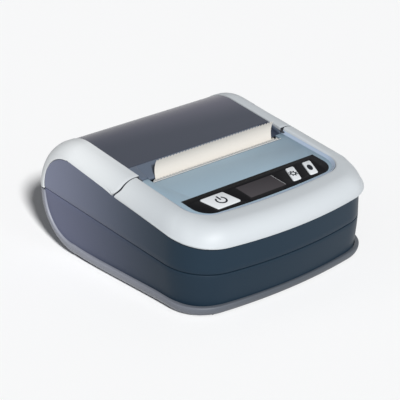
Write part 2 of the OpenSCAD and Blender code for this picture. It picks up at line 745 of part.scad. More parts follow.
// Media
module roll_bay() color("darkgray") {
    along_x(2*bay_hw + 0.02) intersection() {
        difference() {
            translate([bay_y, bay_z]) circle(bay_r + bay_t);
            translate([bay_y, bay_z]) circle(bay_r);
        }
        polygon([[-10, 0], [80, 0], [80, bay_z - 1], [bay_y, bay_z - 1], [bay_y, 36], [-10, 36]]);
    }
    both_sides() along_x(bay_t, bay_hw + bay_t/2) intersection() {
        translate([bay_y, bay_z]) circle(bay_r + bay_t);
        polygon([[-10, 0], [80, 0], [80, bay_z - 1], [bay_y + 8, 38], [-10, 38]]);
    }
    box(bay_hw, bay_hw + bay_t, release_y - 5.5, release_y + 4.5, 37, shelf_z);
    box(bay_hw, lever_x - 2.2, release_y - 5.5, release_y + 4.5, shelf_z - 1.6, shelf_z);
}
module paper_roll() color("ivory") difference() {
    x_rod(roll_d/2, -paper_w/2, paper_w/2, bay_y, roll_z);
    x_rod(core_d/2, -60, 60, bay_y, roll_z);
}
module roll_core() color("burlywood") difference() {
    x_rod(core_d/2, -paper_w/2 - 0.3, paper_w/2 + 0.3, bay_y, roll_z);
    x_rod(core_bore/2, -60, 60, bay_y, roll_z);
}
// Mid line of the sheet, from the roll's top, under the platen, up the slot and along the curling tail
web_r = platen_r + web_gap + paper_t/2;
web_clear = 0.35;
roll_line_r = roll_d/2 + web_clear;
web_dist = norm([platen_y - bay_y, platen_z - roll_z]);
web_aim = atan2(platen_z - roll_z, platen_y - bay_y) + asin((roll_line_r + web_r)/web_dist);
slot_z = fascia_at(slot_y);
sheet_line = concat(
    [for (a = [-40 : 10 : 0]) [bay_y + roll_line_r*cos(web_aim - 90 + a), roll_z + roll_line_r*sin(web_aim - 90 + a)]],
    [for (k = [0 : 8]) let (a = web_aim + 90 + (180 - web_aim - 90 + 0)*k/8)
        [platen_y + web_r*cos(a), platen_z + web_r*sin(a)]],
    [[slot_y, slot_z - 1]],
    [for (k = [1 : 8]) let (t = k/8) [slot_y + tail_lean(t), slot_z - 1 + (tail_h + 1)*t]]);
function tail_lean(t) = 3.4*t*(1 - t) - 1.4*pow(t, 3);
function sheet_dir(p, k) = let (a = p[max(k - 1, 0)], b = p[min(k + 1, len(p) - 1)]) (b - a)/norm(b - a);
function sheet_edge(p, h) = [for (k = [0 : len(p) - 1]) let (d = sheet_dir(p, k)) p[k] + h*[-d[1], d[0]]];
module paper_strip() color("ivory") {
    low = sheet_edge(sheet_line, paper_t/2);
    high = sheet_edge(sheet_line, -paper_t/2);
    n = len(sheet_line);
    along_x(paper_w) polygon(concat(low, [for (k = [n - 1 : -1 : 0]) high[k]]));
}
module paper_sensor() color("black") {
    box(-4, 4, 1, 4.8, 34.8, 37.4);
    box(-1.2, 1.2, 1.8, 4.2, 37.4, 37.9);
}

// Cover
module cover_zone(gap) along_x(big) difference() {
    above_seam_side(gap);
    panel_side(gap);
}
module shoulder(s) difference() {
    union() {
        intersection() {
            difference() {
                top_form();
                top_form(wall);
            }
            box(min(s*inner_hw, s*90), max(s*inner_hw, s*90), -80, 80, hinge_z - 0.8, 90);
            behind_split(line_gap);
            cover_zone(line_gap);
        }
        intersection() {
            x_rod(hinge_r, min(s*inner_hw, s*(hw - 8)), max(s*inner_hw, s*(hw - 8)), hinge_y, hinge_z);
            top_form();
        }
    }
    if (s > 0) release_pill(-0.25, lever_x + 2.7 - release_travel);
}
module release_pill(i, x0) translate([x0, release_y, release_z]) rotate([90, 0, 90])
    linear_extrude(60) rotate(crown_slope) {
        square([release_l - release_h, release_h - 2*i], center=true);
        for (e = [-1, 1]) translate([e*(release_l - release_h)/2, 0]) circle(release_h/2 - i);
    }
module shoulder_left() color(white) shoulder(-1);
module shoulder_right() color(white) shoulder(1);
module cover_window() color([0.3, 0.3, 0.36, 0.75]) along_x(2*(inner_hw - 0.3)) intersection() {
    difference() {
        crown_side(window_drop);
        crown_side(window_drop + window_t);
    }
    polygon([[lip_top_y + 0.1, 90], [lip_top_y + 0.1, 45], [80, hinge_z - 10 + 13.2], [80, 90]]);
    translate([0, hinge_z + 3.2]) square([80, 60]);
}
module cover_lip() color("slategray") difference() {
    top = crown_z(lip_top_y) - window_drop/cos(crown_slope);
    along_x(2*(inner_hw - 0.3)) polygon([[lip_top_y, top], [slot_y + 1.1, slot_z + 0.9], [slot_y + 0.9, slot_z + 0.4], [slot_y + 0.9, slot_z - 0.9],
        [slot_y + 1.4, slot_z - 1.2], [lip_top_y, top - window_t]]);
    both_sides() box(bay_hw + 2.6, 80, -80, split_y + 0.1, 0, 90);
}
module carrier_side() intersection() {
    difference() {
        crown_side(window_drop + window_t + 0.1);
        crown_side(window_drop + window_t + 2.5);
    }
    translate([lip_top_y - 0.5, hinge_z]) square([80, 60]);
}
module cover_carrier() color("darkslategray") difference() {
    union() {
        both_sides() along_x(3, inner_hw - 2.2) carrier_side();
        along_x(2*(inner_hw - 0.7)) {
            intersection() {
                difference() {
                    crown_side(window_drop);
                    crown_side(3.6);
                }
                translate([50, hinge_z]) square([80, 3.1]);
            }
            translate([hinge_y, hinge_z]) circle(hinge_r);
            intersection() {
                translate([top_drum_y, top_drum_z]) circle(top_drum_r - window_drop);
                translate([hinge_y - 2, hinge_z]) square([6, 2]);
            }
        }
        along_x(2*(inner_hw - 0.7)) polygon([[platen_y + 2.4, slot_z - 1.6 + 0.5], [7.5, crown_z(7.5) - 3],
            [7.5, crown_z(7.5) - 4.9], [platen_y + 2.4, slot_z - 2.6]]);
        both_sides() along_x(1.7, cheek_x - 1.2) {
            translate([platen_y, platen_z]) circle(bush_r + 0.6);
            polygon([[platen_y - 2, platen_z], [platen_y + 3.5, platen_z], [platen_y + 5.8, slot_z - 0.2],
                [platen_y + 2.2, slot_z - 1.5]]);
        }
        for (y = [release_y - 4.5, release_y + 2.4]) translate([0, y, 0]) rotate([90, 0, 0]) mirror([0, 0, 1])
            linear_extrude(1.1) {
                translate([lever_x, lever_z]) circle(2);
                polygon([[inner_hw - 3, crown_z(y) - 5], [inner_hw - 3, crown_z(y) - 3.2], [lever_x, crown_z(y) - 4.6],
                    [lever_x + 1.8, lever_z + 0.4], [lever_x - 2, lever_z]]);
            }
    }
    x_rod(pin_r + run_gap, -60, 60, hinge_y, hinge_z);
    for (x = [-32, 32]) box(x - 2.3, x + 2.3, 50, 80, 20, hinge_z + 3.4);
    x_rod(shaft_r + run_gap, -60, 60, platen_y, platen_z);
    translate([lever_x, 0, lever_z]) rotate([-90, 0, 0]) cylinder(r=1 + run_gap, h=60);
}
module hinge_pin() color("silver") x_rod(pin_r, -inner_hw + 1.2, inner_hw - 1.2, hinge_y, hinge_z);
module release_button() color(white) {
    intersection() {
        top_form();
        release_pill(0, lever_x + 3);
    }
    x_rod(0.8, lever_x + 1.1, lever_x + 4, release_y - 0.5, release_z);
}
module release_lever() color("orange") translate([0, release_y - 3.2, 0]) {
    rotate([90, 0, 0]) mirror([0, 0, 1]) linear_extrude(5.4) {
        translate([lever_x, lever_z]) circle(1.8);
        translate([lever_x - 1, lever_z]) square([2, 5]);
        translate([lever_x, lever_z]) polygon([[-4.3, -3], [-2.9, -3], [0.4, -1.4], [0.4, 1], [-1.4, 1]]);
    }
    translate([lever_x, -1.1, lever_z]) rotate([-90, 0, 0]) cylinder(r=1, h=7.6);
}

// Battery, boards and fasteners
module battery_pack() color("royalblue") intersection() {
    box(pack_x - battery_w/2, pack_x + battery_w/2, pack_y - battery_d/2, pack_y + battery_d/2, floor_z + 0.3,
        floor_z + 0.3 + battery_h);
    translate([0, pack_y, 0]) along_y(60) translate([pack_x - battery_w/2, floor_z + 0.3]) {
        r = 5;
        translate([0, r]) square([battery_w, battery_h - 2*r]);
        translate([r, 0]) square([battery_w - 2*r, battery_h]);
        for (x = [r, battery_w - r], z = [r, battery_h - r]) translate([x, z]) circle(r);
    }
}
module battery_door() color(dark) {
    difference() {
        union() {
            box(pack_x - door_hw, pack_x + door_hw, door_front_y, door_hinge_y, foot_h, floor_z);
            x_rod(wall/2, pack_x - door_hw, pack_x + door_hw, door_hinge_y, foot_h + wall/2);
        }
        for (k = [-3 : 3]) box(pack_x - 9, pack_x + 9, pack_y - 9.6 + k*1.6, pack_y - 9 + k*1.6, 0, foot_h + 0.4);
    }
    x_rod(0.9, pack_x - door_hw - 1.8, pack_x + door_hw + 1.8, door_hinge_y, foot_h + wall/2);
}
module battery_contacts() color("gold") for (k = [-1 : 1])
    box(pack_x + k*5 - 1, pack_x + k*5 + 1, pack_y + battery_d/2, pack_y + battery_d/2 + 0.5, floor_z + 5,
        floor_z + 10);
module main_board() color("seagreen") difference() {
    intersection() {
        box(board_x0, board_x1, board_y0, board_y1, board_z, board_z + board_t);
        linear_extrude(60) case_plan(wall + 0.6);
    }
    board_posts() cylinder(r=axle_r, h=40);
    screw_posts() cylinder(r=4, h=40);
    box(screw_x, 80, screw_front_y - 1.3, screw_front_y + 1.3, 0, 60);
}
module board_parts() color("black") translate([0, 0, board_z + board_t]) {
    translate([30, -44, 0]) cube([10, 10, 1]);
    translate([24, -56, 0]) cube([8, 5, 1.6]);
    translate([14.2, -34, 0]) cube([6.6, 5.4, 3]);
    translate([22, -32.6, 0]) cube([14, 4, 2.4]);
    for (y = [-52, -38]) translate([44.5, y, 0]) cylinder(r=2, h=4.5);
}
module usb_socket() color("silver") intersection() {
    translate([board_x1 - 7, 0, 0]) usb_slot(0);
    box(0, hw - 0.8, -80, 0, 0, 60);
    difference() {
        box(0, 90, -80, 0, 0, 60);
        translate([board_x1 - 2, 0, 0]) usb_slot(-0.5);
    }
}
module head_ribbon() color("orange") along_x(6, 17.5) {
    y0 = -11.6;
    z0 = board_z + board_t + 2.5;
    polygon([[y0, 31], [y0 + 0.3, 31], [y0 + 0.3, 23.9], [-19.9, z0], [-28.6, z0], [-28.6, z0 + 0.3],
        [-20.1, z0 + 0.3], [y0, 24.1]]);
}
module buzzer() color("black") translate([12 - hw, -20, floor_z]) difference() {
    cylinder(r=4.5, h=5);
    translate([0, 0, 4]) cylinder(r=0.9, h=2);
}
module case_screws() color("silver") screw_posts() {
    translate([0, 0, -1]) cylinder(r=2.6, h=2.5);
    cylinder(r=1.25, h=33 - floor_z - 1);
}
module frame_screws() color("silver") frame_posts() {
    translate([0, 0, frame_z + frame_t]) cylinder(r=1.7, h=0.7);
    translate([0, 0, floor_z + 1.4]) cylinder(r=axle_r, h=frame_z + frame_t - floor_z - 1.4);
}
module board_screws() color("silver") board_posts() {
    translate([0, 0, board_z + board_t]) cylinder(r=1.9, h=1);
    translate([0, 0, floor_z + 1.4]) cylinder(r=axle_r, h=board_z + board_t - floor_z - 1.4);
}

base_tray();
bottom_bumper();
rubber_feet();
mid_housing();
top_bezel();
control_fascia();
panel_overlay();
lcd_lens();
lcd_module();
key_board();
tact_switches();
power_key();
setup_key();
feed_key();
tear_bar();
mech_frame();
head_heatsink();
head_board();
head_spring();
stepper_motor();
motor_pinion();
idler_gear();
platen_shaft();
platen_sleeve();
platen_gear();
platen_bushes();
roll_bay();
paper_roll();
roll_core();
paper_strip();
paper_sensor();
cover_carrier();
cover_window();
cover_lip();
shoulder_left();
shoulder_right();
hinge_pin();
release_button();
release_lever();
battery_pack();
battery_door();
battery_contacts();
main_board();
board_parts();
usb_socket();
head_ribbon();
buzzer();
case_screws();
frame_screws();
board_screws();
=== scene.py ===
"""Looks of the portable thermal printer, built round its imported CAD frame."""

import json
import logging
import math
from dataclasses import dataclass
from enum import Enum
from typing import Optional, Sequence

import bmesh
import bpy
from mathutils import Matrix, Vector

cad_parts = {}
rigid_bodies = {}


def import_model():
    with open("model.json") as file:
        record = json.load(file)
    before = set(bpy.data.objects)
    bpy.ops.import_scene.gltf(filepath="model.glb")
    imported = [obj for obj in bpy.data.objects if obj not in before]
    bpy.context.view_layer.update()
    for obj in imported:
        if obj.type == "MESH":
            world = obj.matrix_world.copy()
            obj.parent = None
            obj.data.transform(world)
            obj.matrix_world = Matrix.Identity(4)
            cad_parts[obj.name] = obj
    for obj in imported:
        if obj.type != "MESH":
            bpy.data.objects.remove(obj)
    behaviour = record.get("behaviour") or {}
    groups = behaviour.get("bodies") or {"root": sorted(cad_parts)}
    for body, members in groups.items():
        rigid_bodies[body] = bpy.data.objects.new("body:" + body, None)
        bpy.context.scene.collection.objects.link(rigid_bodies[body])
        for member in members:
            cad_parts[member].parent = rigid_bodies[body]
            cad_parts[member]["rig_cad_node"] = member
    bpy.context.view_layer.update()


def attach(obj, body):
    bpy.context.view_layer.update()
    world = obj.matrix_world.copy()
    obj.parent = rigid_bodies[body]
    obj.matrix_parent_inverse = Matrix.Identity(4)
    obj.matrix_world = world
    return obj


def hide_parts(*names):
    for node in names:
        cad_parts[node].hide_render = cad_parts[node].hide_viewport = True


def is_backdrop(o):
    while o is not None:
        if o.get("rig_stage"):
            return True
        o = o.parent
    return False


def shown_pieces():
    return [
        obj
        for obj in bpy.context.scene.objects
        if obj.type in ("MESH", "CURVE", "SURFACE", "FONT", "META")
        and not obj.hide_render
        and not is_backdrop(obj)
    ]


LOG = logging.getLogger("printer")
MM = 0.001
GRAIN_SCALE = 900.0
GRAIN_DEPTH = 0.1
Point = tuple[float, float]
Place = tuple[float, float, float]
Colour = tuple[float, float, float]


class Side(Enum):
    """Left or right half of the case, seen from the control panel."""

    LEFT = -1
    RIGHT = 1

    @property
    def word(self) -> str:
        """Name in small letters, for the names of pieces."""
        return self.name.lower()


def clamp(t: float) -> float:
    """Limits a share to the range from 0 to 1."""
    return min(1.0, max(0.0, t))


def arc(cx: float, cy: float, r: float, degrees: Sequence[float]) -> list[Point]:
    """Places points on a circle round (cx, cy) at the given angles."""
    angles = [math.radians(a) for a in degrees]
    return [(cx + r * math.cos(a), cy + r * math.sin(a)) for a in angles]


def stadium(cx: float, cy: float, half: float, r: float, step: int) -> list[Point]:
    """Outlines a slot round (cx, cy), where half reaches from there to the centre of each round end."""
    return arc(cx + half, cy, r, range(-90, 91, step)) + arc(cx - half, cy, r, range(90, 271, step))


def box(x0: float, x1: float, y0: float, y1: float) -> list[Point]:
    """Lists a rectangle's corners."""
    return [(x0, y1), (x0, y0), (x1, y0), (x1, y1)]


def bend_line(centre: float, r: float, limit: float, count: int) -> list[Point]:
    """Rounds the upper outer edge from the top down the side, as distances inwards and down."""
    angles = [limit * k / count for k in range(count + 1)]
    return [(centre - r * math.sin(a), centre - r * math.cos(a)) for a in angles]


@dataclass(frozen=True)
class Form:
    """Sizes of the case in millimetres.

    Most are those of the CAD source. Some, such as panel_r, tail_z, rim_rise and hook_run, belong to
    the looks alone.
    """

    half_width: float = 62.0
    front: float = -64.5
    corner: float = 24.0
    lip_corner: float = 22.5
    bow: float = 2.9
    nose_out: float = 2.0
    side_out: float = 0.5
    drum_y: float = 35.5
    drum_z: float = 30.6
    drum_r: float = 30.5
    crown_base: float = 56.12
    slope: float = math.radians(8.65)
    top_y: float = 39.4
    top_r: float = 26.2
    round_side: float = 11.0
    round_rear: float = 7.5
    round_nose: float = 8.0
    gap: float = 0.4
    tuck: float = 0.3
    seam_z: float = 28.0
    seam_slope: float = math.radians(5.4)
    band_z: float = 47.65
    band_slope: float = math.radians(10.0)
    band_r: float = 19.0
    band_y: float = 38.8
    split_y: float = -3.4
    hook_run: float = 3.4
    floor_z: float = 1.2
    panel_r: float = 22.2
    bumper_h: float = 5.5
    rim_rise: float = 1.5
    port_z: float = 13.8
    tail_z: float = 32.65
    fascia_z: float = 53.5
    fascia_slope: float = math.radians(7.2)
    panel_y: float = -39.5
    slot_y: float = -5.05
    hinge_y: float = 62.7
    hinge_z: float = 35.2

    def crown(self, y: float) -> float:
        """Height of the sloping top at depth position y."""
        return self.crown_base + y * math.tan(self.slope)

    def hook(self, d: float) -> float:
        """Rearward bend of the cover split down the side.

        Args:
            d: Distance inwards from the outer side face.

        Returns:
            Distance to the rear.
        """
        if d <= 0.4:
            return self.hook_run
        return self.hook_run * max(0.0, (self.hook_run - d) / 3.0) ** 2.5

    @property
    def top_z(self) -> float:
        """Height of the cover's rear axis."""
        return self.crown(self.top_y) - self.top_r / math.cos(self.slope)

    def seam(self, y: float) -> float:
        """Height of the housing seam at depth position y."""
        return self.seam_z + y * math.tan(self.seam_slope)

    def band(self, y: float) -> float:
        """Height of the white band's lower edge, with the rear arc.

        Args:
            y: Depth position.

        Returns:
            Height of the dark panel's top at that depth.
        """
        line = self.band_z + min(y, self.band_y) * math.tan(self.band_slope)
        if y <= self.band_y:
            return line
        centre = self.band_centre
        return centre + math.sqrt(max(0.0, self.band_r**2 - (y - self.band_y) ** 2))

    def rim_top(self, y: float) -> float:
        """Height of the rim's upper edge.

        Args:
            y: Depth position.

        Returns:
            Height of the edge at that depth.
        """
        front, rear = clamp((y + 60.0) / 35.0), clamp((y - 14.0) / (self.drum_y - 14.0))
        middle = self.bumper_h + self.rim_rise * front * front * (3 - 2 * front)
        return middle + (self.drum_z - self.panel_r - middle) * rear * rear

    @property
    def band_centre(self) -> float:
        """Height of the dark panel's upper rear arc centre."""
        return self.band_z + self.band_y * math.tan(self.band_slope) - self.band_r / math.cos(self.band_slope)

    def fascia(self, y: float) -> float:
        """Height of the fascia plane at depth position y."""
        return self.fascia_z + y * math.tan(self.fascia_slope)


FORM = Form()


@dataclass(frozen=True)
class Station:
    """A place on a plan outline with its outward normal."""

    x: float
    y: float
    nx: float
    ny: float
    sweep: float = 0.0

    def inset(self, d: float) -> Point:
        """Moves inwards by d, sheared along the slanted split."""
        return self.x - d * self.nx, self.y - d * self.ny - self.sweep * d


@dataclass(frozen=True)
class Outline:
    """A plan outline with a bowed front and two rounded corners."""

    half_width: float
    front: float
    corner: float
    bow: float

    @property
    def half(self) -> float:
        """Distance of the corner centres from the middle plane."""
        return self.half_width - self.corner

    @property
    def bow_r(self) -> float:
        """Radius of the bowed front."""
        return (self.half**2 + self.bow**2) / (2 * self.bow)

    @property
    def corner_y(self) -> float:
        """Depth position of the corner centres."""
        return self.front + self.bow_r - math.sqrt((self.bow_r - self.corner) ** 2 - self.half**2)

    def stations(self, y_end: float, shear: float = 0.0, step: float = 3.0, ends: int = 4) -> list[Station]:
        """Walks from the left rear round the front to the right rear.

        Args:
            y_end: Depth position of both ends.
            shear: How much the ends slant with the inset.
            step: Spacing on the straight sides.
            ends: Number of fine steps at each end.

        Returns:
            Stations in order.
        """
        bow_y = self.front + self.bow_r
        lean = math.atan2(self.half, bow_y - self.corner_y)
        run = y_end - self.corner_y
        count = max(2, int(run / step))
        depths = {y_end - run * (k / count) for k in range(count)}
        depths |= {y_end - run / count * (k / ends) ** 2 for k in range(1, ends)}
        left = [Station(-self.half_width, y, -1.0, 0.0, shear * ((y - self.corner_y) / run) ** 3)
                for y in sorted(depths, reverse=True)]
        for k in range(17):
            a = (math.pi / 2 - lean) * k / 16
            u, v = math.cos(a), math.sin(a)
            left.append(Station(-self.half - self.corner * u, self.corner_y - self.corner * v, -u, -v))
        front = []
        for k in range(1, 24):
            a = -lean + 2 * lean * k / 24
            u, v = math.sin(a), math.cos(a)
            front.append(Station(self.bow_r * u, bow_y - self.bow_r * v, u, -v))
        right = [Station(-s.x, s.y, -s.nx, s.ny, s.sweep) for s in reversed(left)]
        return left + front + right


CASE = Outline(FORM.half_width, FORM.front, FORM.corner, FORM.bow)
WHITE = Outline(FORM.half_width + FORM.side_out, FORM.front - FORM.nose_out, FORM.lip_corner, FORM.bow)
HOLE = Outline(49.6, -51.1, 13.0, 2.0)


@dataclass(frozen=True)
class Finish:
    """A procedural surface.

    The colour may run from base to a second colour along a direction in object space; every finish here uses
    that run as painted light or shade.
    """

    name: str
    base: Colour
    rough: float = 0.35
    metal: float = 0.0
    # Far colour of the painted light or shade; None keeps the colour even.
    painted_light_end: Optional[Colour] = None
    along: Place = (0.0, 1.0, 0.0)
    span: Point = (-66.0, 66.0)
    grain: float = 0.02
    bump: float = 0.02
    spec: float = 0.5

    def material(self) -> bpy.types.Material:
        """Makes the material, or finds it if it was made before.

        Returns:
            The material.
        """
        found = bpy.data.materials.get(self.name)
        if found:
            return found
        mat = bpy.data.materials.new(self.name)
        mat.use_nodes = True
        tree = mat.node_tree
        shader = tree.nodes["Principled BSDF"]
        shader.inputs["Base Color"].default_value = (*self.base, 1.0)
        shader.inputs["Metallic"].default_value = self.metal
        shader.inputs["Roughness"].default_value = self.rough
        shader.inputs["Specular IOR Level"].default_value = self.spec
        coords = tree.nodes.new("ShaderNodeTexCoord")
        noise = tree.nodes.new("ShaderNodeTexNoise")
        noise.inputs["Scale"].default_value = GRAIN_SCALE
        noise.inputs["Detail"].default_value = 3.0
        tree.links.new(coords.outputs["Object"], noise.inputs["Vector"])
        spread = tree.nodes.new("ShaderNodeMapRange")
        spread.inputs["To Min"].default_value = max(0.02, self.rough - self.grain)
        spread.inputs["To Max"].default_value = self.rough + self.grain
        tree.links.new(noise.outputs["Fac"], spread.inputs["Value"])
        tree.links.new(spread.outputs["Result"], shader.inputs["Roughness"])
        if self.bump > 0:
            bump = tree.nodes.new("ShaderNodeBump")
            bump.inputs["Strength"].default_value = self.bump
            bump.inputs["Distance"].default_value = GRAIN_DEPTH * MM
            tree.links.new(noise.outputs["Fac"], bump.inputs["Height"])
            tree.links.new(bump.outputs["Normal"], shader.inputs["Normal"])
        if self.painted_light_end:
            self._blend(tree, coords, shader)
        return mat

    def _blend(self, tree: bpy.types.NodeTree, coords: bpy.types.Node, shader: bpy.types.Node) -> None:
        """Runs the colour from base to the second colour across the object, as painted light or shade.

        Args:
            tree: The material's nodes.
            coords: The node that gives object coordinates.
            shader: The surface shader.
        """
        dot = tree.nodes.new("ShaderNodeVectorMath")
        dot.operation = "DOT_PRODUCT"
        dot.inputs[1].default_value = Vector(self.along).normalized()
        tree.links.new(coords.outputs["Object"], dot.inputs[0])
        ramp = tree.nodes.new("ShaderNodeMapRange")
        ramp.interpolation_type = "SMOOTHSTEP"
        ramp.inputs["From Min"].default_value = self.span[0] * MM
        ramp.inputs["From Max"].default_value = self.span[1] * MM
        tree.links.new(dot.outputs["Value"], ramp.inputs["Value"])
        mix = tree.nodes.new("ShaderNodeMix")
        mix.data_type = "RGBA"
        mix.inputs[6].default_value = (*self.base, 1.0)
        mix.inputs[7].default_value = (*self.painted_light_end, 1.0)
        tree.links.new(ramp.outputs["Result"], mix.inputs[0])
        tree.links.new(mix.outputs[2], shader.inputs["Base Color"])


# Directions along which the finishes below paint light and shade.
TO_REAR_LEFT = (-0.5, 0.87, 0.0)
TO_RIGHT = (1.0, 0.2, 0.0)
TO_REAR = (0.1, 1.0, -0.1)

# Painted light: the white runs lighter towards the rear left.
WHITE_PLASTIC = Finish("white_satin", (0.40, 0.425, 0.445), 0.52, spec=0.3,
                       painted_light_end=(0.58, 0.60, 0.61), along=TO_REAR_LEFT, span=(0, 60))
# Painted light: the dark slate runs lighter towards the rear left.
SLATE = Finish("slate_satin", (0.007, 0.018, 0.031), 0.42, spec=0.18,
               painted_light_end=(0.165, 0.18, 0.25), along=TO_REAR_LEFT, span=(-10, 100))
# Painted light: the lower slate runs lighter towards the rear left.
LOWER = Finish("slate_lower", (0.007, 0.017, 0.029), 0.44, spec=0.18,
               painted_light_end=(0.115, 0.125, 0.19), along=TO_REAR_LEFT, span=(-10, 100))
# Painted light: the rim runs lighter towards the rear left.
RIM = Finish("rim_lavender", (0.05, 0.058, 0.07), 0.45, spec=0.3,
             painted_light_end=(0.20, 0.21, 0.245), along=TO_REAR_LEFT, span=(-60, 60))
# Painted shade: the fascia runs darker towards the right.
FASCIA = Finish("fascia_blue", (0.23, 0.315, 0.38), 0.36, spec=0.2,
                painted_light_end=(0.165, 0.23, 0.285), along=TO_RIGHT, span=(0, 45))
# Painted reflection: the smoked window runs lighter towards the rear.
WINDOW = Finish("smoked_gloss", (0.030, 0.036, 0.054), 0.26, spec=0.14, bump=0.01,
                painted_light_end=(0.17, 0.16, 0.20), along=TO_REAR, span=(14, 62))
BORDER = Finish("fascia_edge", (0.27, 0.33, 0.42), 0.36, spec=0.3)
STRIP = Finish("strip_gloss", (0.004, 0.004, 0.005), 0.45, bump=0.0, spec=0.03)
LCD = Finish("lcd_glass", (0.052, 0.048, 0.052), 0.50, bump=0.0, spec=0.0)
LIGHT_LINE = Finish("display_edge", (0.50, 0.52, 0.53), 0.4, spec=0.2)
LIP = Finish("lip_slate", (0.070, 0.088, 0.120), 0.40, spec=0.25)
# Dark inner plastic, also used for the sheets of painted shade behind gaps and before the slot.
DARK = Finish("inner_dark_and_painted_shade", (0.018, 0.020, 0.026), 0.6, bump=0.05)
# Painted shade: the lip's notch is dark for the shade that falls in that recess.
RECESS = Finish("notch_painted_shade", (0.018, 0.024, 0.040), 0.5, spec=0.2)
KEY = Finish("key_grey", (0.56, 0.58, 0.60), 0.38, spec=0.3)
ICON = Finish("icon_dark", (0.010, 0.012, 0.016), 0.6, spec=0.05)
RUBBER = Finish("feet_rubber", (0.03, 0.03, 0.032), 0.7, bump=0.1)
PAPER = Finish("paper_ivory", (0.54, 0.515, 0.475), 0.8, bump=0.05, spec=0.1)
CARD = Finish("card_brown", (0.42, 0.31, 0.19), 0.8, bump=0.15)
STEEL = Finish("steel_brushed", (0.55, 0.56, 0.58), 0.3, metal=1.0, grain=0.08)
BLADE = Finish("blade_bright", (0.40, 0.40, 0.39), 0.35, metal=0.3)
BRASS = Finish("brass_turned", (0.75, 0.56, 0.26), 0.3, metal=1.0)
CERAMIC = Finish("head_ceramic", (0.75, 0.73, 0.68), 0.25)
NYLON = Finish("gear_nylon", (0.80, 0.78, 0.70), 0.45)
BOARD = Finish("board_green", (0.03, 0.16, 0.07), 0.35)
PARTS = Finish("component_black", (0.02, 0.02, 0.022), 0.45)
WRAP = Finish("battery_film", (0.06, 0.10, 0.22), 0.25)
FILM = Finish("ribbon_film", (0.55, 0.30, 0.06), 0.3)
FLOOR = Finish("floor_pale", (0.93, 0.93, 0.93), 0.9, bump=0.0, spec=0.0)

DRESSED: tuple[tuple[Finish, str], ...] = (
    (RUBBER, "rubber_feet platen_sleeve"),
    (PARTS, "lcd_module tact_switches paper_sensor board_parts buzzer"),
    (STEEL, "mech_frame head_heatsink head_spring stepper_motor platen_shaft hinge_pin usb_socket"),
    (STEEL, "case_screws frame_screws board_screws"),
    (BRASS, "motor_pinion battery_contacts"),
    (NYLON, "idler_gear platen_gear platen_bushes"),
    (BOARD, "key_board main_board"),
    (DARK, "roll_bay cover_carrier release_lever"),
    (BLADE, "tear_bar"), (CERAMIC, "head_board"), (FILM, "head_ribbon"), (PAPER, "paper_roll"),
    (CARD, "roll_core"), (WRAP, "battery_pack"), (LOWER, "battery_door"),
)
CAD_FINISHES: dict[str, Finish] = {node: finish for finish, nodes in DRESSED for node in nodes.split()}


class Skin:
    """A mesh made of grids and polygons, in millimetres."""

    def __init__(self) -> None:
        """Starts an empty mesh."""
        self.verts: list[Vector] = []
        self.faces: list[tuple[int, ...]] = []

    def grid(self, rows: Sequence[Sequence[Sequence[float]]]) -> "Skin":
        """Adds a grid of quads.

        Args:
            rows: Rows of points, all of one length.

        Returns:
            This mesh.
        """
        base, wide = len(self.verts), len(rows[0])
        for row in rows:
            self.verts.extend(Vector(p) for p in row)
        for i in range(len(rows) - 1):
            for j in range(wide - 1):
                a = base + i * wide + j
                self.faces.append((a, a + 1, a + wide + 1, a + wide))
        return self

    def polygon(self, points: Sequence[Sequence[float]]) -> "Skin":
        """Adds one flat face.

        Args:
            points: Its corners in order.

        Returns:
            This mesh.
        """
        base = len(self.verts)
        self.verts.extend(Vector(p) for p in points)
        self.faces.append(tuple(range(base, base + len(points))))
        return self

    def build(self, name: str, finish: Finish, inside: Optional[Sequence[float]] = None) -> bpy.types.Object:
        """Makes the Blender object.

        Args:
            name: Name of the piece.
            finish: Its surface.
            inside: A point that the faces look away from.

        Returns:
            The object, linked to the scene.
        """
        mesh = bpy.data.meshes.new(name)
        bm = bmesh.new()
        made = [bm.verts.new(v * MM) for v in self.verts]
        for face in self.faces:
            try:
                bm.faces.new([made[i] for i in face])
            except ValueError:
                LOG.debug("double face in %s", name)
        bmesh.ops.remove_doubles(bm, verts=bm.verts, dist=0.004 * MM)
        bmesh.ops.dissolve_degenerate(bm, edges=bm.edges, dist=0.002 * MM)
        bmesh.ops.recalc_face_normals(bm, faces=bm.faces)
        if inside is not None:
            centre = Vector(inside) * MM
            facing = sum(f.calc_area() * (f.calc_center_median() - centre).dot(f.normal) for f in bm.faces)
            if facing < 0:
                bmesh.ops.reverse_faces(bm, faces=bm.faces)
        bm.to_mesh(mesh)
        bm.free()
        obj = bpy.data.objects.new(name, mesh)
        bpy.context.scene.collection.objects.link(obj)
        mesh.materials.append(finish.material())
        return obj


def settle(obj: bpy.types.Object, angle: float = 38.0) -> bpy.types.Object:
    """Applies the modifiers and smooths the faces up to an angle.

    Args:
        obj: The object.
        angle: Largest angle in degrees that is shaded smooth.

    Returns:
        The same object.
    """
    bpy.context.view_layer.update()
    graph = bpy.context.evaluated_depsgraph_get()
    mesh = bpy.data.meshes.new_from_object(obj.evaluated_get(graph), depsgraph=graph)
    obj.modifiers.clear()
    obj.data = mesh
    mesh.shade_smooth()
    mesh.set_sharp_from_angle(angle=math.radians(angle))
    return obj


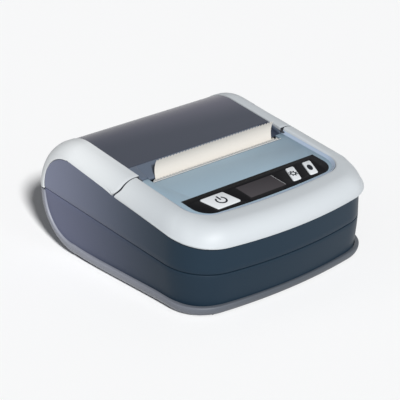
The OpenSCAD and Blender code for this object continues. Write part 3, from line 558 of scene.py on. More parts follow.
def thicken(obj: bpy.types.Object, wall: float, edge: float, cutters: Sequence[bpy.types.Object] = (),
            angle: float = 38.0) -> bpy.types.Object:
    """Gives a skin its wall, cuts it and rounds its edges.

    Args:
        obj: The skin.
        wall: Wall inwards in millimetres.
        edge: Edge rounding in millimetres, 0 for none.
        cutters: Solids that are cut away.
        angle: Edges sharper than this are rounded, in degrees.

    Returns:
        The same object.
    """
    if wall > 0:
        solid = obj.modifiers.new("wall", "SOLIDIFY")
        solid.thickness = wall * MM
        solid.offset = -1.0
        solid.use_even_offset = False
    for tool in cutters:
        cut = obj.modifiers.new("cut", "BOOLEAN")
        cut.operation = "DIFFERENCE"
        cut.solver = "EXACT"
        cut.use_self = tool.name.startswith("pill")
        cut.object = tool
    if edge > 0:
        bevel = obj.modifiers.new("edge", "BEVEL")
        bevel.width = edge * MM
        bevel.segments = 2
        bevel.limit_method = "ANGLE"
        bevel.angle_limit = math.radians(angle)
        bevel.use_clamp_overlap = True
    return settle(obj, angle)


def shell(rows: Sequence[Sequence[Sequence[float]]], name: str, finish: Finish, inside: Sequence[float],
          wall: float, edge: float = 0.0, cutters: Sequence[bpy.types.Object] = (),
          angle: float = 38.0) -> bpy.types.Object:
    """Makes a walled piece from one grid, see Skin.build and thicken."""
    return thicken(Skin().grid(rows).build(name, finish, inside), wall, edge, cutters, angle)


def prism(name: str, finish: Finish, outline: Sequence[Point], low: float, high: float, place: Matrix,
          edge: float = 0.0) -> bpy.types.Object:
    """Extrudes a flat outline.

    Args:
        name: Name of the piece.
        finish: Its surface.
        outline: Its corners in order.
        low: Lower end in millimetres.
        high: Upper end in millimetres.
        place: Where it goes, in millimetres.
        edge: Edge rounding in millimetres.

    Returns:
        The object.
    """
    skin = Skin()
    skin.polygon([place @ Vector((x, y, high)) for x, y in outline])
    skin.polygon([place @ Vector((x, y, low)) for x, y in reversed(outline)])
    ring = list(outline) + [outline[0]]
    skin.grid([[place @ Vector((x, y, z)) for x, y in ring] for z in (high, low)])
    return thicken(skin.build(name, finish), 0, edge, angle=50.0)


def rounded(points: Sequence[Point], r: float, steps: int = 4) -> list[Point]:
    """Rounds the corners of a polygon.

    Args:
        points: Corners in order.
        r: Corner radius.
        steps: Points per corner.

    Returns:
        The rounded outline.
    """
    out: list[Point] = []
    n = len(points)
    for i, p in enumerate(points):
        a, b, c = Vector(points[i - 1]), Vector(p), Vector(points[(i + 1) % n])
        u, v = (a - b).normalized(), (c - b).normalized()
        half = u.angle(v) / 2
        cut = min(r / math.tan(half), (a - b).length * 0.45, (c - b).length * 0.45)
        p0, p2 = b + u * cut, b + v * cut
        for k in range(steps + 1):
            t = k / steps
            q = p0 * (1 - t) ** 2 + b * (2 * t * (1 - t)) + p2 * t**2
            out.append((q.x, q.y))
    return out


# A shell's rounded edge: distance inwards from its face, and along the face from the edge.
EDGE_R = 0.35
ROUND_EDGE: tuple[Point, ...] = ((2.2, 0.0), (EDGE_R, 0.0), (0.1, 0.1), (0.0, EDGE_R))
# Prisms with ACROSS take depth and height and run along the width; those with PANEL lie on the fascia.
ACROSS = Matrix(((0, 0, 1, 0), (1, 0, 0, 0), (0, 1, 0, 0), (0, 0, 0, 1)))
PANEL_ORIGIN = (0, FORM.panel_y, FORM.fascia(FORM.panel_y))
PANEL = Matrix.Translation(PANEL_ORIGIN) @ Matrix.Rotation(FORM.fascia_slope, 4, "X")


def stand_for(obj: bpy.types.Object, body: str, slot: str, *nodes: str) -> None:
    """Hands a piece to its CAD body.

    Args:
        obj: The piece.
        body: The CAD body it moves with.
        slot: The record's material slot; not used.
        nodes: CAD nodes that it replaces.
    """
    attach(obj, body)
    if nodes:
        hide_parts(*nodes)


@dataclass(frozen=True)
class Housing:
    """The fixed shells of the lower case."""

    wall: float = 0.8
    base_wall: float = 0.9
    belly_x: float = 48.4
    belly_front: float = -57.0
    belly_rear: float = 20.0
    wing_x: float = 58.0
    wing_front: float = -44.0
    wing_rear: float = 34.0
    hatch_left: float = -40.4
    hatch_right: float = 8.4
    hatch_front: float = -54.9
    hatch_rear: float = -18.9
    port_y: float = -36.0
    port_half: float = 2.9
    port_r: float = 1.9
    port_from: float = 56.0
    port_to: float = 66.0
    taper: float = 1.5
    taper_rear: float = 0.6
    rim_lap: float = 0.4
    ear_x: float = 32.0
    ear_r: float = 2.2
    ear_half: float = 2.0
    ear_h: float = 6.0
    rim_out: float = 0.4
    rim_r: float = 31.0
    rim_edge: float = 5.6
    rim_edge_rear: float = 9.0
    rim_deep: float = 14.0
    # Placement of the dark sheet of painted shade behind the seam's gap.
    liner_rear: float = 56.0
    liner_in: float = 1.9
    liner_half: float = 3.0

    def build(self) -> None:
        """Makes the dark wall, the tray, its belly and ears, the rim and the dark sheet of painted shade
        behind the seam.
        """
        self._wall()
        self._tray()
        self._belly()
        self._ears()
        self._bumper()
        self._seam_shade()

    def _wall(self) -> None:
        """Makes the dark wall between the seam and the white band."""
        f = FORM
        rows = []
        for s in CASE.stations(f.band_y + math.sqrt(f.band_r**2 - 1.0), ends=6):
            low, high = f.seam(s.y) + f.gap / 2, f.band(s.y) + f.tuck
            if s.y > f.band_y:
                high = max(low + 0.05, f.band(s.y))
            row = [(*s.inset(d), min(low + h, high)) for d, h in ROUND_EDGE]
            start = low + EDGE_R
            row += [(s.x, s.y, max(low, start + (high - start) * k / 6)) for k in range(1, 7)]
            rows.append(row)
        wall = shell(rows, "case_wall", SLATE, (0, 0, 35), self.wall)
        stand_for(wall, "housing", "slate_shell", "mid_housing")

    def _tray(self) -> None:
        """Makes the dark lower sides with the port's opening."""
        f = FORM
        rows = []
        for s in CASE.stations(f.drum_y + f.panel_r - 0.05, ends=6):
            high = f.seam(s.y) - f.gap / 2
            low = f.rim_top(s.y) - self.rim_lap
            if s.y > f.drum_y:
                low = f.drum_z - math.sqrt(max(0.0, f.panel_r**2 - (s.y - f.drum_y) ** 2)) - self.rim_lap
            taper = self.taper + (self.taper_rear - self.taper) * clamp((s.y - 20) / 30)
            row = []
            for k in range(9):
                t = k / 8
                row.append((*s.inset(taper * (1 - t) ** 1.3), low + (high - EDGE_R - low) * t))
            row += [(*s.inset(d), max(low, high - h)) for d, h in reversed(ROUND_EDGE[:3])]
            rows.append(row)
        ring = stadium(self.port_y, f.port_z, self.port_half, self.port_r, 15)
        port = prism("usb_port", DARK, ring, self.port_from, self.port_to, ACROSS)
        side = shell(rows, "case_lower_side", LOWER, (0, 0, 15), self.wall, 0.0, [port])
        bpy.data.objects.remove(port)
        stand_for(side, "housing", "slate_shell", "base_tray")

    def _belly(self) -> None:
        """Makes the underside round the battery door and up the rear."""
        f, z, wide = FORM, FORM.floor_z, self.belly_x
        line = [(y, max(h, z)) for y, h in arc(f.drum_y, f.drum_z, f.drum_r, range(3, -91, -4))]
        line += [(self.belly_rear, z), (self.hatch_rear, z)]
        belly = Skin().grid([[(x, y, h) for y, h in line] for x in (-wide, -24, 0, 24, wide)])
        left, right, rear = self.hatch_left, self.hatch_right, self.hatch_rear
        for x0, x1, y1 in ((-wide, left, rear), (right, wide, rear), (left, right, self.hatch_front)):
            belly.grid([[(x0, y, z), (x1, y, z)] for y in (self.belly_front, y1)])
        for x in (-1, 1):
            belly.grid([[(x * wide, y, z), (x * self.wing_x, y, z)]
                        for y in (self.wing_front, self.belly_rear, self.wing_rear)])
        under = thicken(belly.build("case_belly", LOWER, (0, 20, 25)), self.base_wall, 0.0)
        stand_for(under, "housing", "slate_shell")

    def _ears(self) -> None:
        """Makes the two hinge ears."""
        f, foot = FORM, FORM.hinge_z - self.ear_h
        ring = arc(f.hinge_y, f.hinge_z, self.ear_r, range(0, 181, 15))
        ring += [(f.hinge_y - self.ear_r, foot), (f.hinge_y + 2.0, foot)]
        for side in Side:
            x = side.value * self.ear_x
            ear = prism(f"hinge_ear_{side.word}", LOWER, ring, x - self.ear_half, x + self.ear_half,
                        ACROSS, 0.2)
            stand_for(ear, "housing", "slate_shell")

    def _section(self, rho: float, edge: float) -> list[Point]:
        """Makes the rim's cross-section.

        Args:
            rho: Distance of its upper edge, or inner edge at the rear, from the drum axis.
            edge: Radius of its outer rounding.

        Returns:
            Distances inwards from the side face and outwards from the drum axis.
        """
        begin = math.asin(clamp((rho + 0.5 - (self.rim_r - edge)) / edge))
        inner = edge * (1 - math.cos(begin))
        points = [(2.2, rho), (inner + 0.7, rho), (inner + 0.25, rho + 0.15), (inner + 0.05, rho + 0.4)]
        for k in range(9):
            a = begin + (math.pi / 2 - begin) * k / 8
            points.append((edge * (1 - math.cos(a)), self.rim_r - edge + edge * math.sin(a)))
        return points + [(9.0, self.rim_r), (self.rim_deep, self.rim_r)]

    def _corner(self, side: Side) -> list[list[Place]]:
        """Makes the rim's rows round one rear corner.

        Args:
            side: Which side of the case.

        Returns:
            Rows from the shoulder's end down to the underside.
        """
        f = FORM
        rows = []
        for degrees in range(5, -90, -5):
            angle = math.radians(degrees)
            row = []
            for d, rho in self._section(f.panel_r - 0.1, self.rim_edge_rear):
                reach = rho * math.cos(angle)
                if rho > f.drum_r - 0.1:
                    reach = reach * f.drum_r / self.rim_r
                z = max(f.floor_z, min(f.drum_z + rho * math.sin(angle), f.tail_z - 0.5))
                row.append((side.value * (f.half_width + self.rim_out - d), f.drum_y + reach, z))
            rows.append(row)
        return rows

    def _bumper(self) -> None:
        """Makes the rim round the lower edge and up the rear corners."""
        f = FORM
        outline = Outline(f.half_width + self.rim_out, f.front - 0.1, f.corner - 2.5, f.bow)
        low, swell = f.drum_z - f.bumper_h, self.rim_edge_rear - self.rim_edge
        middle = []
        for s in outline.stations(f.drum_y):
            upper = f.drum_z - f.rim_top(s.y)
            edge = self.rim_edge + swell * clamp((low - upper) / (low - f.panel_r))
            middle.append([(*s.inset(min(d + 0.25, self.rim_deep)), max(f.floor_z, f.drum_z - rho))
                           for d, rho in self._section(upper - 0.1, edge)])
        path = self._corner(Side.LEFT) + middle + list(reversed(self._corner(Side.RIGHT)))
        rim = shell(path, "case_rim", RIM, (0, 0, 20), self.base_wall)
        stand_for(rim, "housing", "rim_plastic", "bottom_bumper")

    def _seam_shade(self) -> None:
        """Makes the dark strip behind the seam's gap line, painted shade that darkens the gap."""
        rows = [[(*s.inset(self.liner_in), FORM.seam(s.y) + dz) for dz in (-self.liner_half, self.liner_half)]
                for s in CASE.stations(self.liner_rear)]
        stand_for(shell(rows, "seam_shade_sheet", DARK, (0, 0, 28), 0.6), "housing", "inner_plastic")


@dataclass(frozen=True)
class Bezel:
    """The white frame round the control panel."""

    wall: float = 1.2
    corner_round: float = 16.0
    flat_least: float = 1.8
    side_count: int = 14
    side_bias: float = 1.6
    edge_run: float = 1.4

    def build(self) -> None:
        """Makes the frame as one lofted skin."""
        outer = WHITE.stations(FORM.split_y, shear=1.0)
        inner = HOLE.stations(FORM.split_y)
        rows = [self._row(a, b) for a, b in zip(self._match(outer), self._match(inner))]
        frame = shell(rows, "white_bezel", WHITE_PLASTIC, (0, -30, 30), self.wall, angle=50.0)
        stand_for(frame, "housing", "white_shell", "top_bezel")

    def _match(self, stations: list[Station]) -> list[Station]:
        """Picks the same number of stations on every outline.

        Args:
            stations: Stations in order.

        Returns:
            The same count on each side, the corners and the front.
        """
        n = 1 + max(i for i, s in enumerate(stations) if s.x < 0 and abs(s.nx + 1) < 1e-6)
        left = []
        for k in range(self.side_count):
            t = (k / (self.side_count - 1)) ** self.side_bias * (n - 1)
            i = min(int(t), n - 2)
            u = t - i
            a, b = stations[i], stations[i + 1]
            left.append(Station(a.x, a.y + (b.y - a.y) * u, -1.0, 0.0, a.sweep + (b.sweep - a.sweep) * u))
        right = [Station(-s.x, s.y, -s.nx, s.ny, s.sweep) for s in reversed(left)]
        return left + stations[n:-n] + right

    def _row(self, a: Station, b: Station) -> list[Place]:
        """Makes one cross-section.

        Args:
            a: Station on the outer outline.
            b: Station on the opening.

        Returns:
            Points from the lower outer edge over the top into the opening.
        """
        f = FORM
        start, end = Vector((a.x, a.y)), Vector((b.x, b.y))
        if abs(a.nx) > 0.999:
            share = (start.y - f.split_y) / (WHITE.corner_y - f.split_y)
            end.y = start.y + max(0.0, share) * (HOLE.corner_y - WHITE.corner_y)
        run = (end - start).length
        way = (end - start) / run
        frontal = clamp(-a.ny)
        r = f.round_side + (f.round_nose - f.round_side) * frontal
        r = min(r + self.corner_round * frontal * (1 - frontal), run - self.flat_least)
        low = f.band(start.y) + 0.05
        drop = f.crown(start.y + (r * way.y)) - low
        row: list[Place] = []

        def put(d: float, z: float) -> None:
            """Adds the point at distance d inwards and height z."""
            p = start + way * d
            row.append((p.x, p.y + a.sweep * f.hook(d), z))

        def top(d: float) -> float:
            """Gives the height of the rounded top at distance d inwards."""
            y = (start + way * d).y + a.sweep * f.hook(d)
            return f.crown(y) - r + math.sqrt(max(0.0, r * r - (r - min(d, r)) ** 2))

        first = r - math.sqrt(r * r - (r - drop) ** 2) if drop < r else 0.0
        put(2.6, low + 0.2)
        put(first + 0.55, low)
        put(first + 0.15, low + 0.12)
        put(first, low + 0.5)
        begin = math.acos(1 - first / r)
        for k in range(13):
            d = r * (1 - math.cos(begin + (math.pi / 2 - begin) * k / 12))
            put(max(d, first), max(top(d), low + 0.5 + 0.02 * k))
        edge = run - self.edge_run
        for t in (0.35, 0.7):
            put(r + (run - r - self.edge_run) * t, top(r + (run - r - self.edge_run) * t))
        put(edge, top(edge))
        z_end = f.fascia((start + way * run).y)
        rise = top(run) - z_end
        for t, fall in ((0.45, 0.04), (0.8, 0.16), (1.05, 0.38), (1.25, 0.66)):
            put(edge + t, top(edge) - rise * fall)
        put(run - 0.05, z_end - 0.3)
        put(run, z_end - 1.6)
        return row


@dataclass(frozen=True)
class KeyCap:
    """A leaning key, in panel coordinates."""

    x: float
    width: float
    lean: float
    body: str
    node: str
    depth: float = 11.4
    rear: float = 5.6

    def corners(self, by: float = 0.0) -> list[Point]:
        """Makes its outline.

        Args:
            by: Distance outwards from the key's own edges.

        Returns:
            Its four corners.
        """
        half, long = self.width / 2 + by, self.depth / 2 + by
        mid = self.rear - self.depth / 2
        return [(self.x + cx * half + self.lean * cy / 2, mid + cy * long)
                for cx, cy in ((-1, 1), (-1, -1), (1, -1), (1, 1))]


@dataclass(frozen=True)
class Control:
    """The fascia with its strip, display, keys and icons, in panel coordinates."""

    plate: Outline = Outline(49.3, -50.8 - FORM.panel_y, 13.0, 2.0)
    plate_rear: float = 35.9
    notch_x: float = 43.7
    notch_y: float = 31.9
    strip: Outline = Outline(45.0, -48.9 - FORM.panel_y, 9.5, 1.5)
    strip_rear: float = 9.6
    lcd_left: float = -12.95
    lcd_right: float = 11.25
    lcd_front: float = -6.1
    lcd_rear: float = 5.4
    slot_x: float = 43.6
    slot_lines: tuple[float, float, float] = (31.15, 31.4, 31.88)
    keys: tuple[KeyCap, ...] = (KeyCap(-28.0, 15.0, -2.4, "power_button", "power_key"),
                                KeyCap(21.6, 5.6, 5.2, "setup_button", "setup_key"),
                                KeyCap(33.5, 5.6, 5.2, "feed_button", "feed_key"))
    hole_gap: float = 0.25
    hole: Point = (-6, 3)
    cap: Point = (-3.0, 0.5)
    icon_z: float = 0.53
    power_at: Point = (-27.6, -0.3)
    setup_at: Point = (21.4, -0.2)
    feed_at: Point = (33.3, -0.2)
    ring: Point = (2.2, 3.2)
    gear: Point = (0.95, 1.7)

    def build(self) -> None:
        """Makes the fascia and all that sits in it."""
        self._plates()
        self._border()
        self._lines()
        for key in self.keys:
            cap = prism(f"{key.node}_cap", KEY, rounded(key.corners(), 1.0), *self.cap, PANEL, 0.28)
            stand_for(cap, key.body, "key_plastic", key.node)
        self._icons()

    def _display(self, i: float) -> list[Point]:
        """Makes the outline of the display window, moved inwards by i."""
        return box(self.lcd_left + i, self.lcd_right - i, self.lcd_front + i, self.lcd_rear - i)

    def _plates(self) -> None:
        """Makes the fascia and the black strip, with openings for the keys and the display."""
        holes = [rounded(key.corners(self.hole_gap), 1.2) for key in self.keys] + [self._display(-0.05)]
        tools = [prism(f"hole_{i}", DARK, hole, *self.hole, PANEL) for i, hole in enumerate(holes)]
        outline = [(s.x, s.y) for s in self.plate.stations(self.plate_rear, step=20, ends=1)]
        outline += [(self.notch_x, self.plate_rear), (self.notch_x, self.notch_y),
                    (-self.notch_x, self.notch_y), (-self.notch_x, self.plate_rear)]
        plate = thicken(prism("fascia_plate", FASCIA, outline, -1.8, 0.0, PANEL), 0, 0.12, tools, angle=50.0)
        stand_for(plate, "housing", "fascia_plastic", "control_fascia")
        outline = [(s.x, s.y) for s in self.strip.stations(self.strip_rear, step=20, ends=1)]
        strip = thicken(prism("black_strip", STRIP, outline, -0.5, 0.10, PANEL), 0, 0.06, tools, angle=50.0)
        stand_for(strip, "housing", "strip_plastic", "panel_overlay")
        for tool in tools:
            bpy.data.objects.remove(tool)

    def _border(self) -> None:
        """Makes the light border where the fascia meets the bezel."""
        rows = []
        for s in HOLE.stations(FORM.split_y - 0.3):
            row = []
            for d, lift in ((-0.2, 1.1), (0.2, 1.0), (0.7, 0.45), (1.5, 0.04)):
                x, y = s.inset(d)
                row.append((x, y, FORM.fascia(y) + lift))
            rows.append(row)
        stand_for(shell(rows, "fascia_border", BORDER, (0, -30, 0), 0.3), "housing", "fascia_plastic")

    def _lines(self) -> None:
        """Makes the display's glass, the light line in it and the two lines before the slot, of which the
        dark one is a painted shadow.
        """
        glass = prism("display_window", LCD, self._display(0.0), -0.6, 0.06, PANEL, 0.05)
        stand_for(glass, "housing", "display_glass", "lcd_lens")
        outline = box(self.lcd_right - 0.42, self.lcd_right - 0.28, self.lcd_front + 0.4, self.lcd_rear - 0.4)
        line = prism("display_edge_line", LIGHT_LINE, outline, 0.05, 0.09, PANEL)
        stand_for(line, "housing", "key_plastic")
        near, middle, far = self.slot_lines
        # The dark line before the slot is a painted shadow.
        shade = prism("slot_shade", DARK, box(-self.slot_x, self.slot_x, near, middle), -0.3, 0.04, PANEL)
        stand_for(shade, "housing", "inner_plastic")
        light = prism("slot_edge", LIGHT_LINE, box(-self.slot_x, self.slot_x, middle, far), -0.3, 0.08, PANEL)
        stand_for(light, "housing", "key_plastic")

    def _flat(self, points: Sequence[Point]) -> list[Vector]:
        """Lays outline points on top of the keys."""
        return [PANEL @ Vector((x, y, self.icon_z)) for x, y in points]

    def _icons(self) -> None:
        """Makes the power ring, the gear and the feed oval."""
        ring = Skin()
        cx, cy = self.power_at
        ring.grid([self._flat(arc(cx, cy, q, range(125, 416, 10))) for q in self.ring])
        ring.grid([self._flat([(cx - 0.5, cy + dy), (cx + 0.5, cy + dy)]) for dy in (0.4, 3.9)])
        self._icon(ring, "power_icon", "power_button")
        gear = Skin()
        cx, cy = self.setup_at
        gear.grid([self._flat(arc(cx, cy, q, range(0, 361, 9))) for q in self.gear])
        for k in range(8):
            c, s = math.cos(math.radians(45 * k)), math.sin(math.radians(45 * k))
            tooth = ((1.5, -0.4), (1.5, 0.4), (2.5, 0.3), (2.5, -0.3))
            gear.polygon(self._flat([(cx + c * q - s * w, cy + s * q + c * w) for q, w in tooth]))
        self._icon(gear, "setup_icon", "setup_button")
        turn = [math.radians(a) for a in range(0, 360, 9)]
        cx, cy = self.feed_at
        oval = [(cx + 1.6 * math.cos(a) + 1.0 * math.sin(a), cy + 2.6 * math.sin(a)) for a in turn]
        self._icon(Skin().polygon(self._flat(oval)), "feed_icon", "feed_button")

    @staticmethod
    def _icon(skin: Skin, name: str, body: str) -> None:
        """Thickens an icon's flat faces and hands it to the key's body."""
        obj = skin.build(name, ICON, (0, -40, -500))
        stand_for(thicken(obj, 0.06, 0.0), body, "component")


@dataclass(frozen=True)
class Cover:
    """The hinged cover: shoulders, window, lip and release button."""

    wall: float = 1.6
    shoulder_deep: float = 14.0
    shoulder_turn: float = 12.6
    hook_fade: float = 14.0
    pill_y: float = 18.0
    pill_drop: float = 3.6
    pill_from: float = 54.0
    pill_to: float = 66.0
    opening: Point = (6.1, 20.7)
    button: Point = (5.2, 19.8)
    button_wall: float = 2.4
    button_drop: float = 0.15
    window_x: float = 48.2
    window_wall: float = 2.1
    window_drop: float = 0.3
    window_end: float = 38.4
    lip_y: float = 6.0
    lip_left: float = -43.3
    lip_notch: float = 40.3
    lip_right: float = 47.6

    def build(self) -> None:
        """Makes all the cover's shells."""
        pill = self._pill("pill_tool", *self.opening)
        for side, cutters in ((Side.LEFT, []), (Side.RIGHT, [pill])):
            skin = self._shoulder(side, f"white_shoulder_{side.word}", 0.0)
            piece = thicken(skin, self.wall, 0.2, cutters, angle=55.0)
            stand_for(piece, "cover", "white_shell", f"shoulder_{side.word}")
        self._button()
        bpy.data.objects.remove(pill)
        for side in Side:
            self._split_shade(side)
            self._split_edge(side)
        self._window()
        self._lip()

    @staticmethod
    def _inside_panel(y: float, z: float) -> bool:
        """Tells if a point on the side face belongs to the dark panel.

        Args:
            y: Depth position.
            z: Height.

        Returns:
            True inside the dark panel's outline.
        """
        f = FORM
        if y <= f.band_y:
            return z < f.band(y) + f.tuck
        return math.hypot(y - f.band_y, z - f.band_centre) < f.band_r + f.tuck

    def _path(self) -> list[tuple[Point, Point, float]]:
        """Walks along the crown and round the cover's rear end.

        Returns:
            Places in the side view, their outward normals and their share of the split's bend.
        """
        f = FORM
        flat = f.top_y - f.top_r * math.sin(f.slope)
        start = f.split_y + f.gap + 0.3
        path: list[tuple[Point, Point, float]] = []
        for k in range(19):
            y = start + (flat - start) * k / 18
            bend = max(0.0, 1 - (y - start) / self.hook_fade) ** 2
            path.append(((y, f.crown(y)), (-math.sin(f.slope), math.cos(f.slope)), bend))
        first = math.pi / 2 + f.slope
        last = math.asin((f.tail_z + 0.05 - f.top_z) / f.top_r)
        for k in range(1, 41):
            a = first + (last - first) * k / 40
            c, s = math.cos(a), math.sin(a)
            path.append(((f.top_y + f.top_r * c, f.top_z + f.top_r * s), (c, s), 0.0))
        return path

    def _shoulder(self, side: Side, name: str, drop: float) -> bpy.types.Object:
        """Lofts one shoulder along the crown and round the drum.

        Args:
            side: Which shoulder.
            name: Name of the piece.
            drop: Distance inwards from the outer form.

        Returns:
            The skin.
        """
        f = FORM
        rows = []
        for (oy, oz), (ny, nz), shear in self._path():
            depth = 0.5
            while depth < 26 and not self._inside_panel(oy - depth * ny, oz - depth * nz):
                depth += 0.05
            r = f.round_rear + (f.round_side - f.round_rear) * clamp(nz * 1.25) ** 0.8
            limit = math.acos(max(0.0, 1 - min(depth, r) / r))
            line = [(self.shoulder_deep, 0.0), (13.6, 0.0), (self.shoulder_turn, 0.0)]
            line += bend_line(r, r, limit, 14)
            d, h = line[-1]
            line += [(d, max(depth - 0.01, h + 0.005)), (d + 0.4, depth + 0.05)]
            row = []
            for d, h in line:
                y, z = oy - (h + drop) * ny, oz - (h + drop) * nz
                row.append((side.value * (WHITE.half_width - d), y + shear * f.hook(d), max(z, f.tail_z)))
            rows.append(row)
        return Skin().grid(rows).build(name, WHITE_PLASTIC, (side.value * 40, 20, 20))

    def _split_shade(self, side: Side) -> None:
        """Makes the dark strip under the gap between shoulder and bezel, painted shade that darkens the gap.

        Args:
            side: Which shoulder.
        """
        f, wall = FORM, self.wall
        r = f.round_side - wall
        line = [(12.8, 0.0), (12.0, 0.0)] + bend_line(r, r, math.radians(80), 12)
        rows = []
        for shift in (-1.8, -0.4, 1.0, 2.6):
            row = []
            for d, h in line:
                y = f.split_y + shift + f.hook(d)
                z = max(f.crown(y) - wall - h, f.band(y) - 1.0)
                row.append((side.value * (WHITE.half_width - wall - d), y, z))
            rows.append(row)
        strip = shell(rows, f"split_shade_sheet_{side.word}", DARK, (side.value * 40, 0, 20), 0.4)
        stand_for(strip, "housing", "inner_plastic")

    def _split_edge(self, side: Side) -> None:
        """Makes the dark band that faces the bezel across the gap, painted shade on the shoulder's end face.

        Args:
            side: Which shoulder.
        """
        f = FORM
        start = f.split_y + f.gap + 0.15
        rows = []
        for deep in (0.1, 0.9, 1.9):
            line = [(self.shoulder_deep, deep), (self.shoulder_turn, deep)]
            line += bend_line(f.round_side, f.round_side - deep, math.radians(84), 14)
            row = []
            for d, h in line:
                y = start + h * math.sin(f.slope) + f.hook(d)
                z = max(f.crown(start) - h * math.cos(f.slope), f.band(start + f.hook(d)) + 0.1)
                row.append((side.value * (WHITE.half_width - d), y, z))
            rows.append(row)
        band = shell(rows, f"split_edge_{side.word}", DARK, (side.value * 40, 20, 20), 0.1)
        stand_for(band, "cover", "inner_plastic")

    def _pill(self, name: str, height: float, length: float) -> bpy.types.Object:
        """Makes a stadium prism through the right shoulder.

        Args:
            name: Name of the piece.
            height: Its height.
            length: Its length.

        Returns:
            The solid.
        """
        slope = FORM.slope
        z0 = FORM.crown(self.pill_y) - self.pill_drop
        c, s = math.cos(slope), math.sin(slope)
        ring = stadium(0.0, 0.0, length / 2 - height / 2, height / 2, 10)
        turned = [(self.pill_y + y * c - z * s, z0 + y * s + z * c) for y, z in ring]
        return prism(name, DARK, turned, self.pill_from, self.pill_to, ACROSS)

    def _button(self) -> None:
        """Makes the release button in the right shoulder."""
        skin = self._shoulder(Side.RIGHT, "release_pill", self.button_drop)
        body = self._pill("pill_keep", *self.button)
        wall = skin.modifiers.new("wall", "SOLIDIFY")
        wall.thickness = self.button_wall * MM
        wall.offset = -1.0
        keep = skin.modifiers.new("keep", "BOOLEAN")
        keep.operation = "INTERSECT"
        keep.solver = "EXACT"
        keep.use_self = True
        keep.object = body
        thicken(skin, 0, 0.22, angle=55.0)
        bpy.data.objects.remove(body)
        stand_for(skin, "release", "white_shell", "release_button")

    def _window(self) -> None:
        """Makes the smoked window as a curved plate."""
        f = FORM
        r = f.top_r - self.window_drop
        drop = self.window_drop / math.cos(f.slope)
        line = [(y, f.crown(y) - drop) for y in (6.1, 6.4, 10, 16, 22, 28, 33)]
        first, last = math.pi / 2 + f.slope, math.asin((self.window_end - f.top_z) / r)
        for k in range(33):
            a = first + (last - first) * k / 32
            line.append((f.top_y + r * math.cos(a), f.top_z + r * math.sin(a)))
        edge, inner = self.window_x, self.window_x - 0.3
        rows = [[(x, y, z) for y, z in line] for x in (-edge, -inner, -30, -10, 10, 30, inner, edge)]
        plate = shell(rows, "smoked_window", WINDOW, (0, 30, 30), self.window_wall, 0.25, angle=50.0)
        stand_for(plate, "cover", "window_plastic", "cover_window")

    def _lip(self) -> None:
        """Makes the dark facet between the window and the slot, and the notch in it whose dark colour is
        painted shade.
        """
        f, y = FORM, self.lip_y
        top = f.crown(y) - self.window_drop / math.cos(f.slope)
        slot = f.fascia(f.slot_y)
        nose = [(y, top), (5.2, top - 0.28), (-2.6, slot + 0.95), (-3.6, slot + 0.55), (-4.1, slot + 0.1),
                (-4.15, slot - 0.6), (-3.65, slot - 1.2), (y, top - 2.2)]
        wing = [(y, top), (5.2, top - 0.28), (-2.2, slot + 1.1), (-3.0, slot + 0.7), (-3.25, slot + 0.2),
                (-3.25, slot - 0.9), (y, top - 2.2)]
        notch = [(5.9, top - 1.6), (-2.0, slot - 0.1), (-3.0, slot - 0.6), (-3.1, slot - 0.9),
                 (5.9, top - 2.1)]
        middle = prism("cover_lip_nose", LIP, nose, self.lip_left, self.lip_notch, ACROSS, 0.12)
        stand_for(middle, "cover", "lip_plastic", "cover_lip")
        for side, low, high in ((Side.LEFT, -self.window_x, self.lip_left),
                                (Side.RIGHT, self.lip_right, self.window_x)):
            flank = prism(f"cover_lip_wing_{side.word}", LIP, wing, low, high, ACROSS, 0.12)
            stand_for(flank, "cover", "lip_plastic")
        # The notch's dark colour is painted shade.
        recess = prism("cover_lip_notch", RECESS, notch, self.lip_notch, self.lip_right, ACROSS, 0.1)
        stand_for(recess, "cover", "inner_plastic")


@dataclass(frozen=True)
class Paper:
    """The sheet that stands in the slot."""

    width: float = 79.5
    pitch: float = 2.0
    thick: float = 0.12
    shown: float = 11.15
    tooth: float = 0.11
    bow: float = 3.4
    curl: float = 1.4
    rows_out: int = 10

    def build(self) -> None:
        """Makes the sheet with its torn edge."""
        f = FORM
        base = f.fascia(f.slot_y) - 1
        last = round(self.width / self.pitch) * 2
        across = [-self.width / 2 + self.width * j / last for j in range(last + 1)]
        inner = [(20.0, 43.6), (2.0, 39.95), (0.3, 39.6), (-1.6, 39.65), (-3.3, 40.45), (-4.5, 41.9),
                 (-5.03, 43.6), (f.slot_y, 47.0), (f.slot_y, base)]
        rows = [[(x, y, z) for x in across] for y, z in inner]
        for k in range(1, self.rows_out + 1):
            row = []
            for j, x in enumerate(across):
                notch = self.tooth if k == self.rows_out and j % 2 == 1 else 0.0
                u = k / self.rows_out - notch
                row.append((x, f.slot_y + self.bow * u * (1 - u) - self.curl * u**3, base + self.shown * u))
            rows.append(row)
        sheet = shell(rows, "paper_sheet", PAPER, (0, 60, 50), self.thick)
        stand_for(sheet, "housing", "paper", "paper_strip")


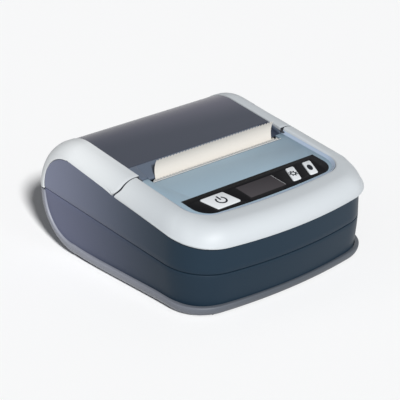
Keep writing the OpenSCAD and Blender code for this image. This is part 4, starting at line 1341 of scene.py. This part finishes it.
@dataclass(frozen=True)
class Studio:
    """Floor, lights and camera."""

    floor_half: float = 6000.0
    sun_energy: float = 5.0
    sun_spread: float = 7.0
    sun_way: Place = (0.7, 1.4, -1.0)
    box_at: Place = (-900, 500, 350)
    box_to: Place = (0, 0, 30)
    box_size: float = 500.0
    box_power: float = 0.3
    air_colour: Colour = (0.93, 0.96, 1.0)
    air_strength: float = 0.15
    eye: Place = (-489.7, -544.6, 355.6)
    back: Place = (-0.6060, -0.6823, 0.4090)
    right: Place = (0.7477, -0.6641, 0.0)
    lens: float = 139.48

    def build(self) -> None:
        """Makes the stage."""
        self._floor()
        self._world()
        self._lights()
        self._camera()

    def _floor(self) -> None:
        """Makes the plain pale floor."""
        far = self.floor_half
        skin = Skin().grid([[(x, y, 0) for x in (-far, far)] for y in (-far, far)])
        skin.build("floor", FLOOR, (0, 0, -100))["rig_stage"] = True

    def _world(self) -> None:
        """Makes a world that is white to the camera and soft grey to the object."""
        world = bpy.data.worlds.new("studio")
        bpy.context.scene.world = world
        world.use_nodes = True
        tree = world.node_tree
        tree.nodes.clear()
        out = tree.nodes.new("ShaderNodeOutputWorld")
        light = tree.nodes.new("ShaderNodeBackground")
        light.inputs["Color"].default_value = (*self.air_colour, 1)
        light.inputs["Strength"].default_value = self.air_strength
        white = tree.nodes.new("ShaderNodeBackground")
        white.inputs["Color"].default_value = (1, 1, 1, 1)
        white.inputs["Strength"].default_value = 1.0
        path = tree.nodes.new("ShaderNodeLightPath")
        mix = tree.nodes.new("ShaderNodeMixShader")
        seen = path.outputs["Is Camera Ray"]
        for ray in ("Is Glossy Ray", "Is Transmission Ray"):
            either = tree.nodes.new("ShaderNodeMath")
            either.operation = "MAXIMUM"
            tree.links.new(seen, either.inputs[0])
            tree.links.new(path.outputs[ray], either.inputs[1])
            seen = either.outputs[0]
        tree.links.new(seen, mix.inputs[0])
        tree.links.new(light.outputs[0], mix.inputs[1])
        tree.links.new(white.outputs[0], mix.inputs[2])
        tree.links.new(mix.outputs[0], out.inputs[0])

    def _lights(self) -> None:
        """Makes the sun and one weak soft box."""
        key = bpy.data.lights.new("key_sun", "SUN")
        key.energy = self.sun_energy
        key.angle = math.radians(self.sun_spread)
        lamp = bpy.data.objects.new("key_sun", key)
        bpy.context.scene.collection.objects.link(lamp)
        lamp.rotation_euler = Vector(self.sun_way).to_track_quat("-Z", "Y").to_euler()
        data = bpy.data.lights.new("left_box", "AREA")
        data.size = self.box_size * MM
        data.energy = self.box_power
        lamp = bpy.data.objects.new("left_box", data)
        lamp.location = Vector(self.box_at) * MM
        lamp.rotation_mode = "QUATERNION"
        lamp.rotation_quaternion = (Vector(self.box_to) - Vector(self.box_at)).to_track_quat("-Z", "Y")
        bpy.context.scene.collection.objects.link(lamp)
        lamp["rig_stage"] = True

    def _camera(self) -> None:
        """Places the camera where the photo was taken from."""
        back, right = Vector(self.back).normalized(), Vector(self.right).normalized()
        data = bpy.data.cameras.new("camera")
        data.sensor_width = 36.0
        data.lens = self.lens
        data.clip_start, data.clip_end = 0.01, 50.0
        camera = bpy.data.objects.new("camera", data)
        spin = Matrix((right, back.cross(right), back)).transposed().to_4x4()
        camera.matrix_world = Matrix.Translation(Vector(self.eye) * MM) @ spin
        bpy.context.scene.collection.objects.link(camera)
        bpy.context.scene.camera = camera


def dress_nodes() -> None:
    """Gives every CAD node that still shows its finish."""
    for obj in bpy.context.scene.objects:
        node = obj.get("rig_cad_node")
        if node in CAD_FINISHES and obj.type == "MESH":
            obj.data.materials.clear()
            obj.data.materials.append(CAD_FINISHES[node].material())


def write_size() -> None:
    """Updates the view layer.
    """
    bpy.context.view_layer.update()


def main() -> None:
    """Builds the sub-assemblies in order and reports each piece."""
    logging.basicConfig(level=logging.INFO)
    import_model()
    bpy.context.scene.view_settings.view_transform = "Standard"
    dress_nodes()
    for part in (Housing(), Bezel(), Control(), Cover(), Paper(), Studio()):
        part.build()
    write_size()
    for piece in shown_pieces():
        LOG.info("piece %s", piece.name)


if __name__ == "__main__":
    main()
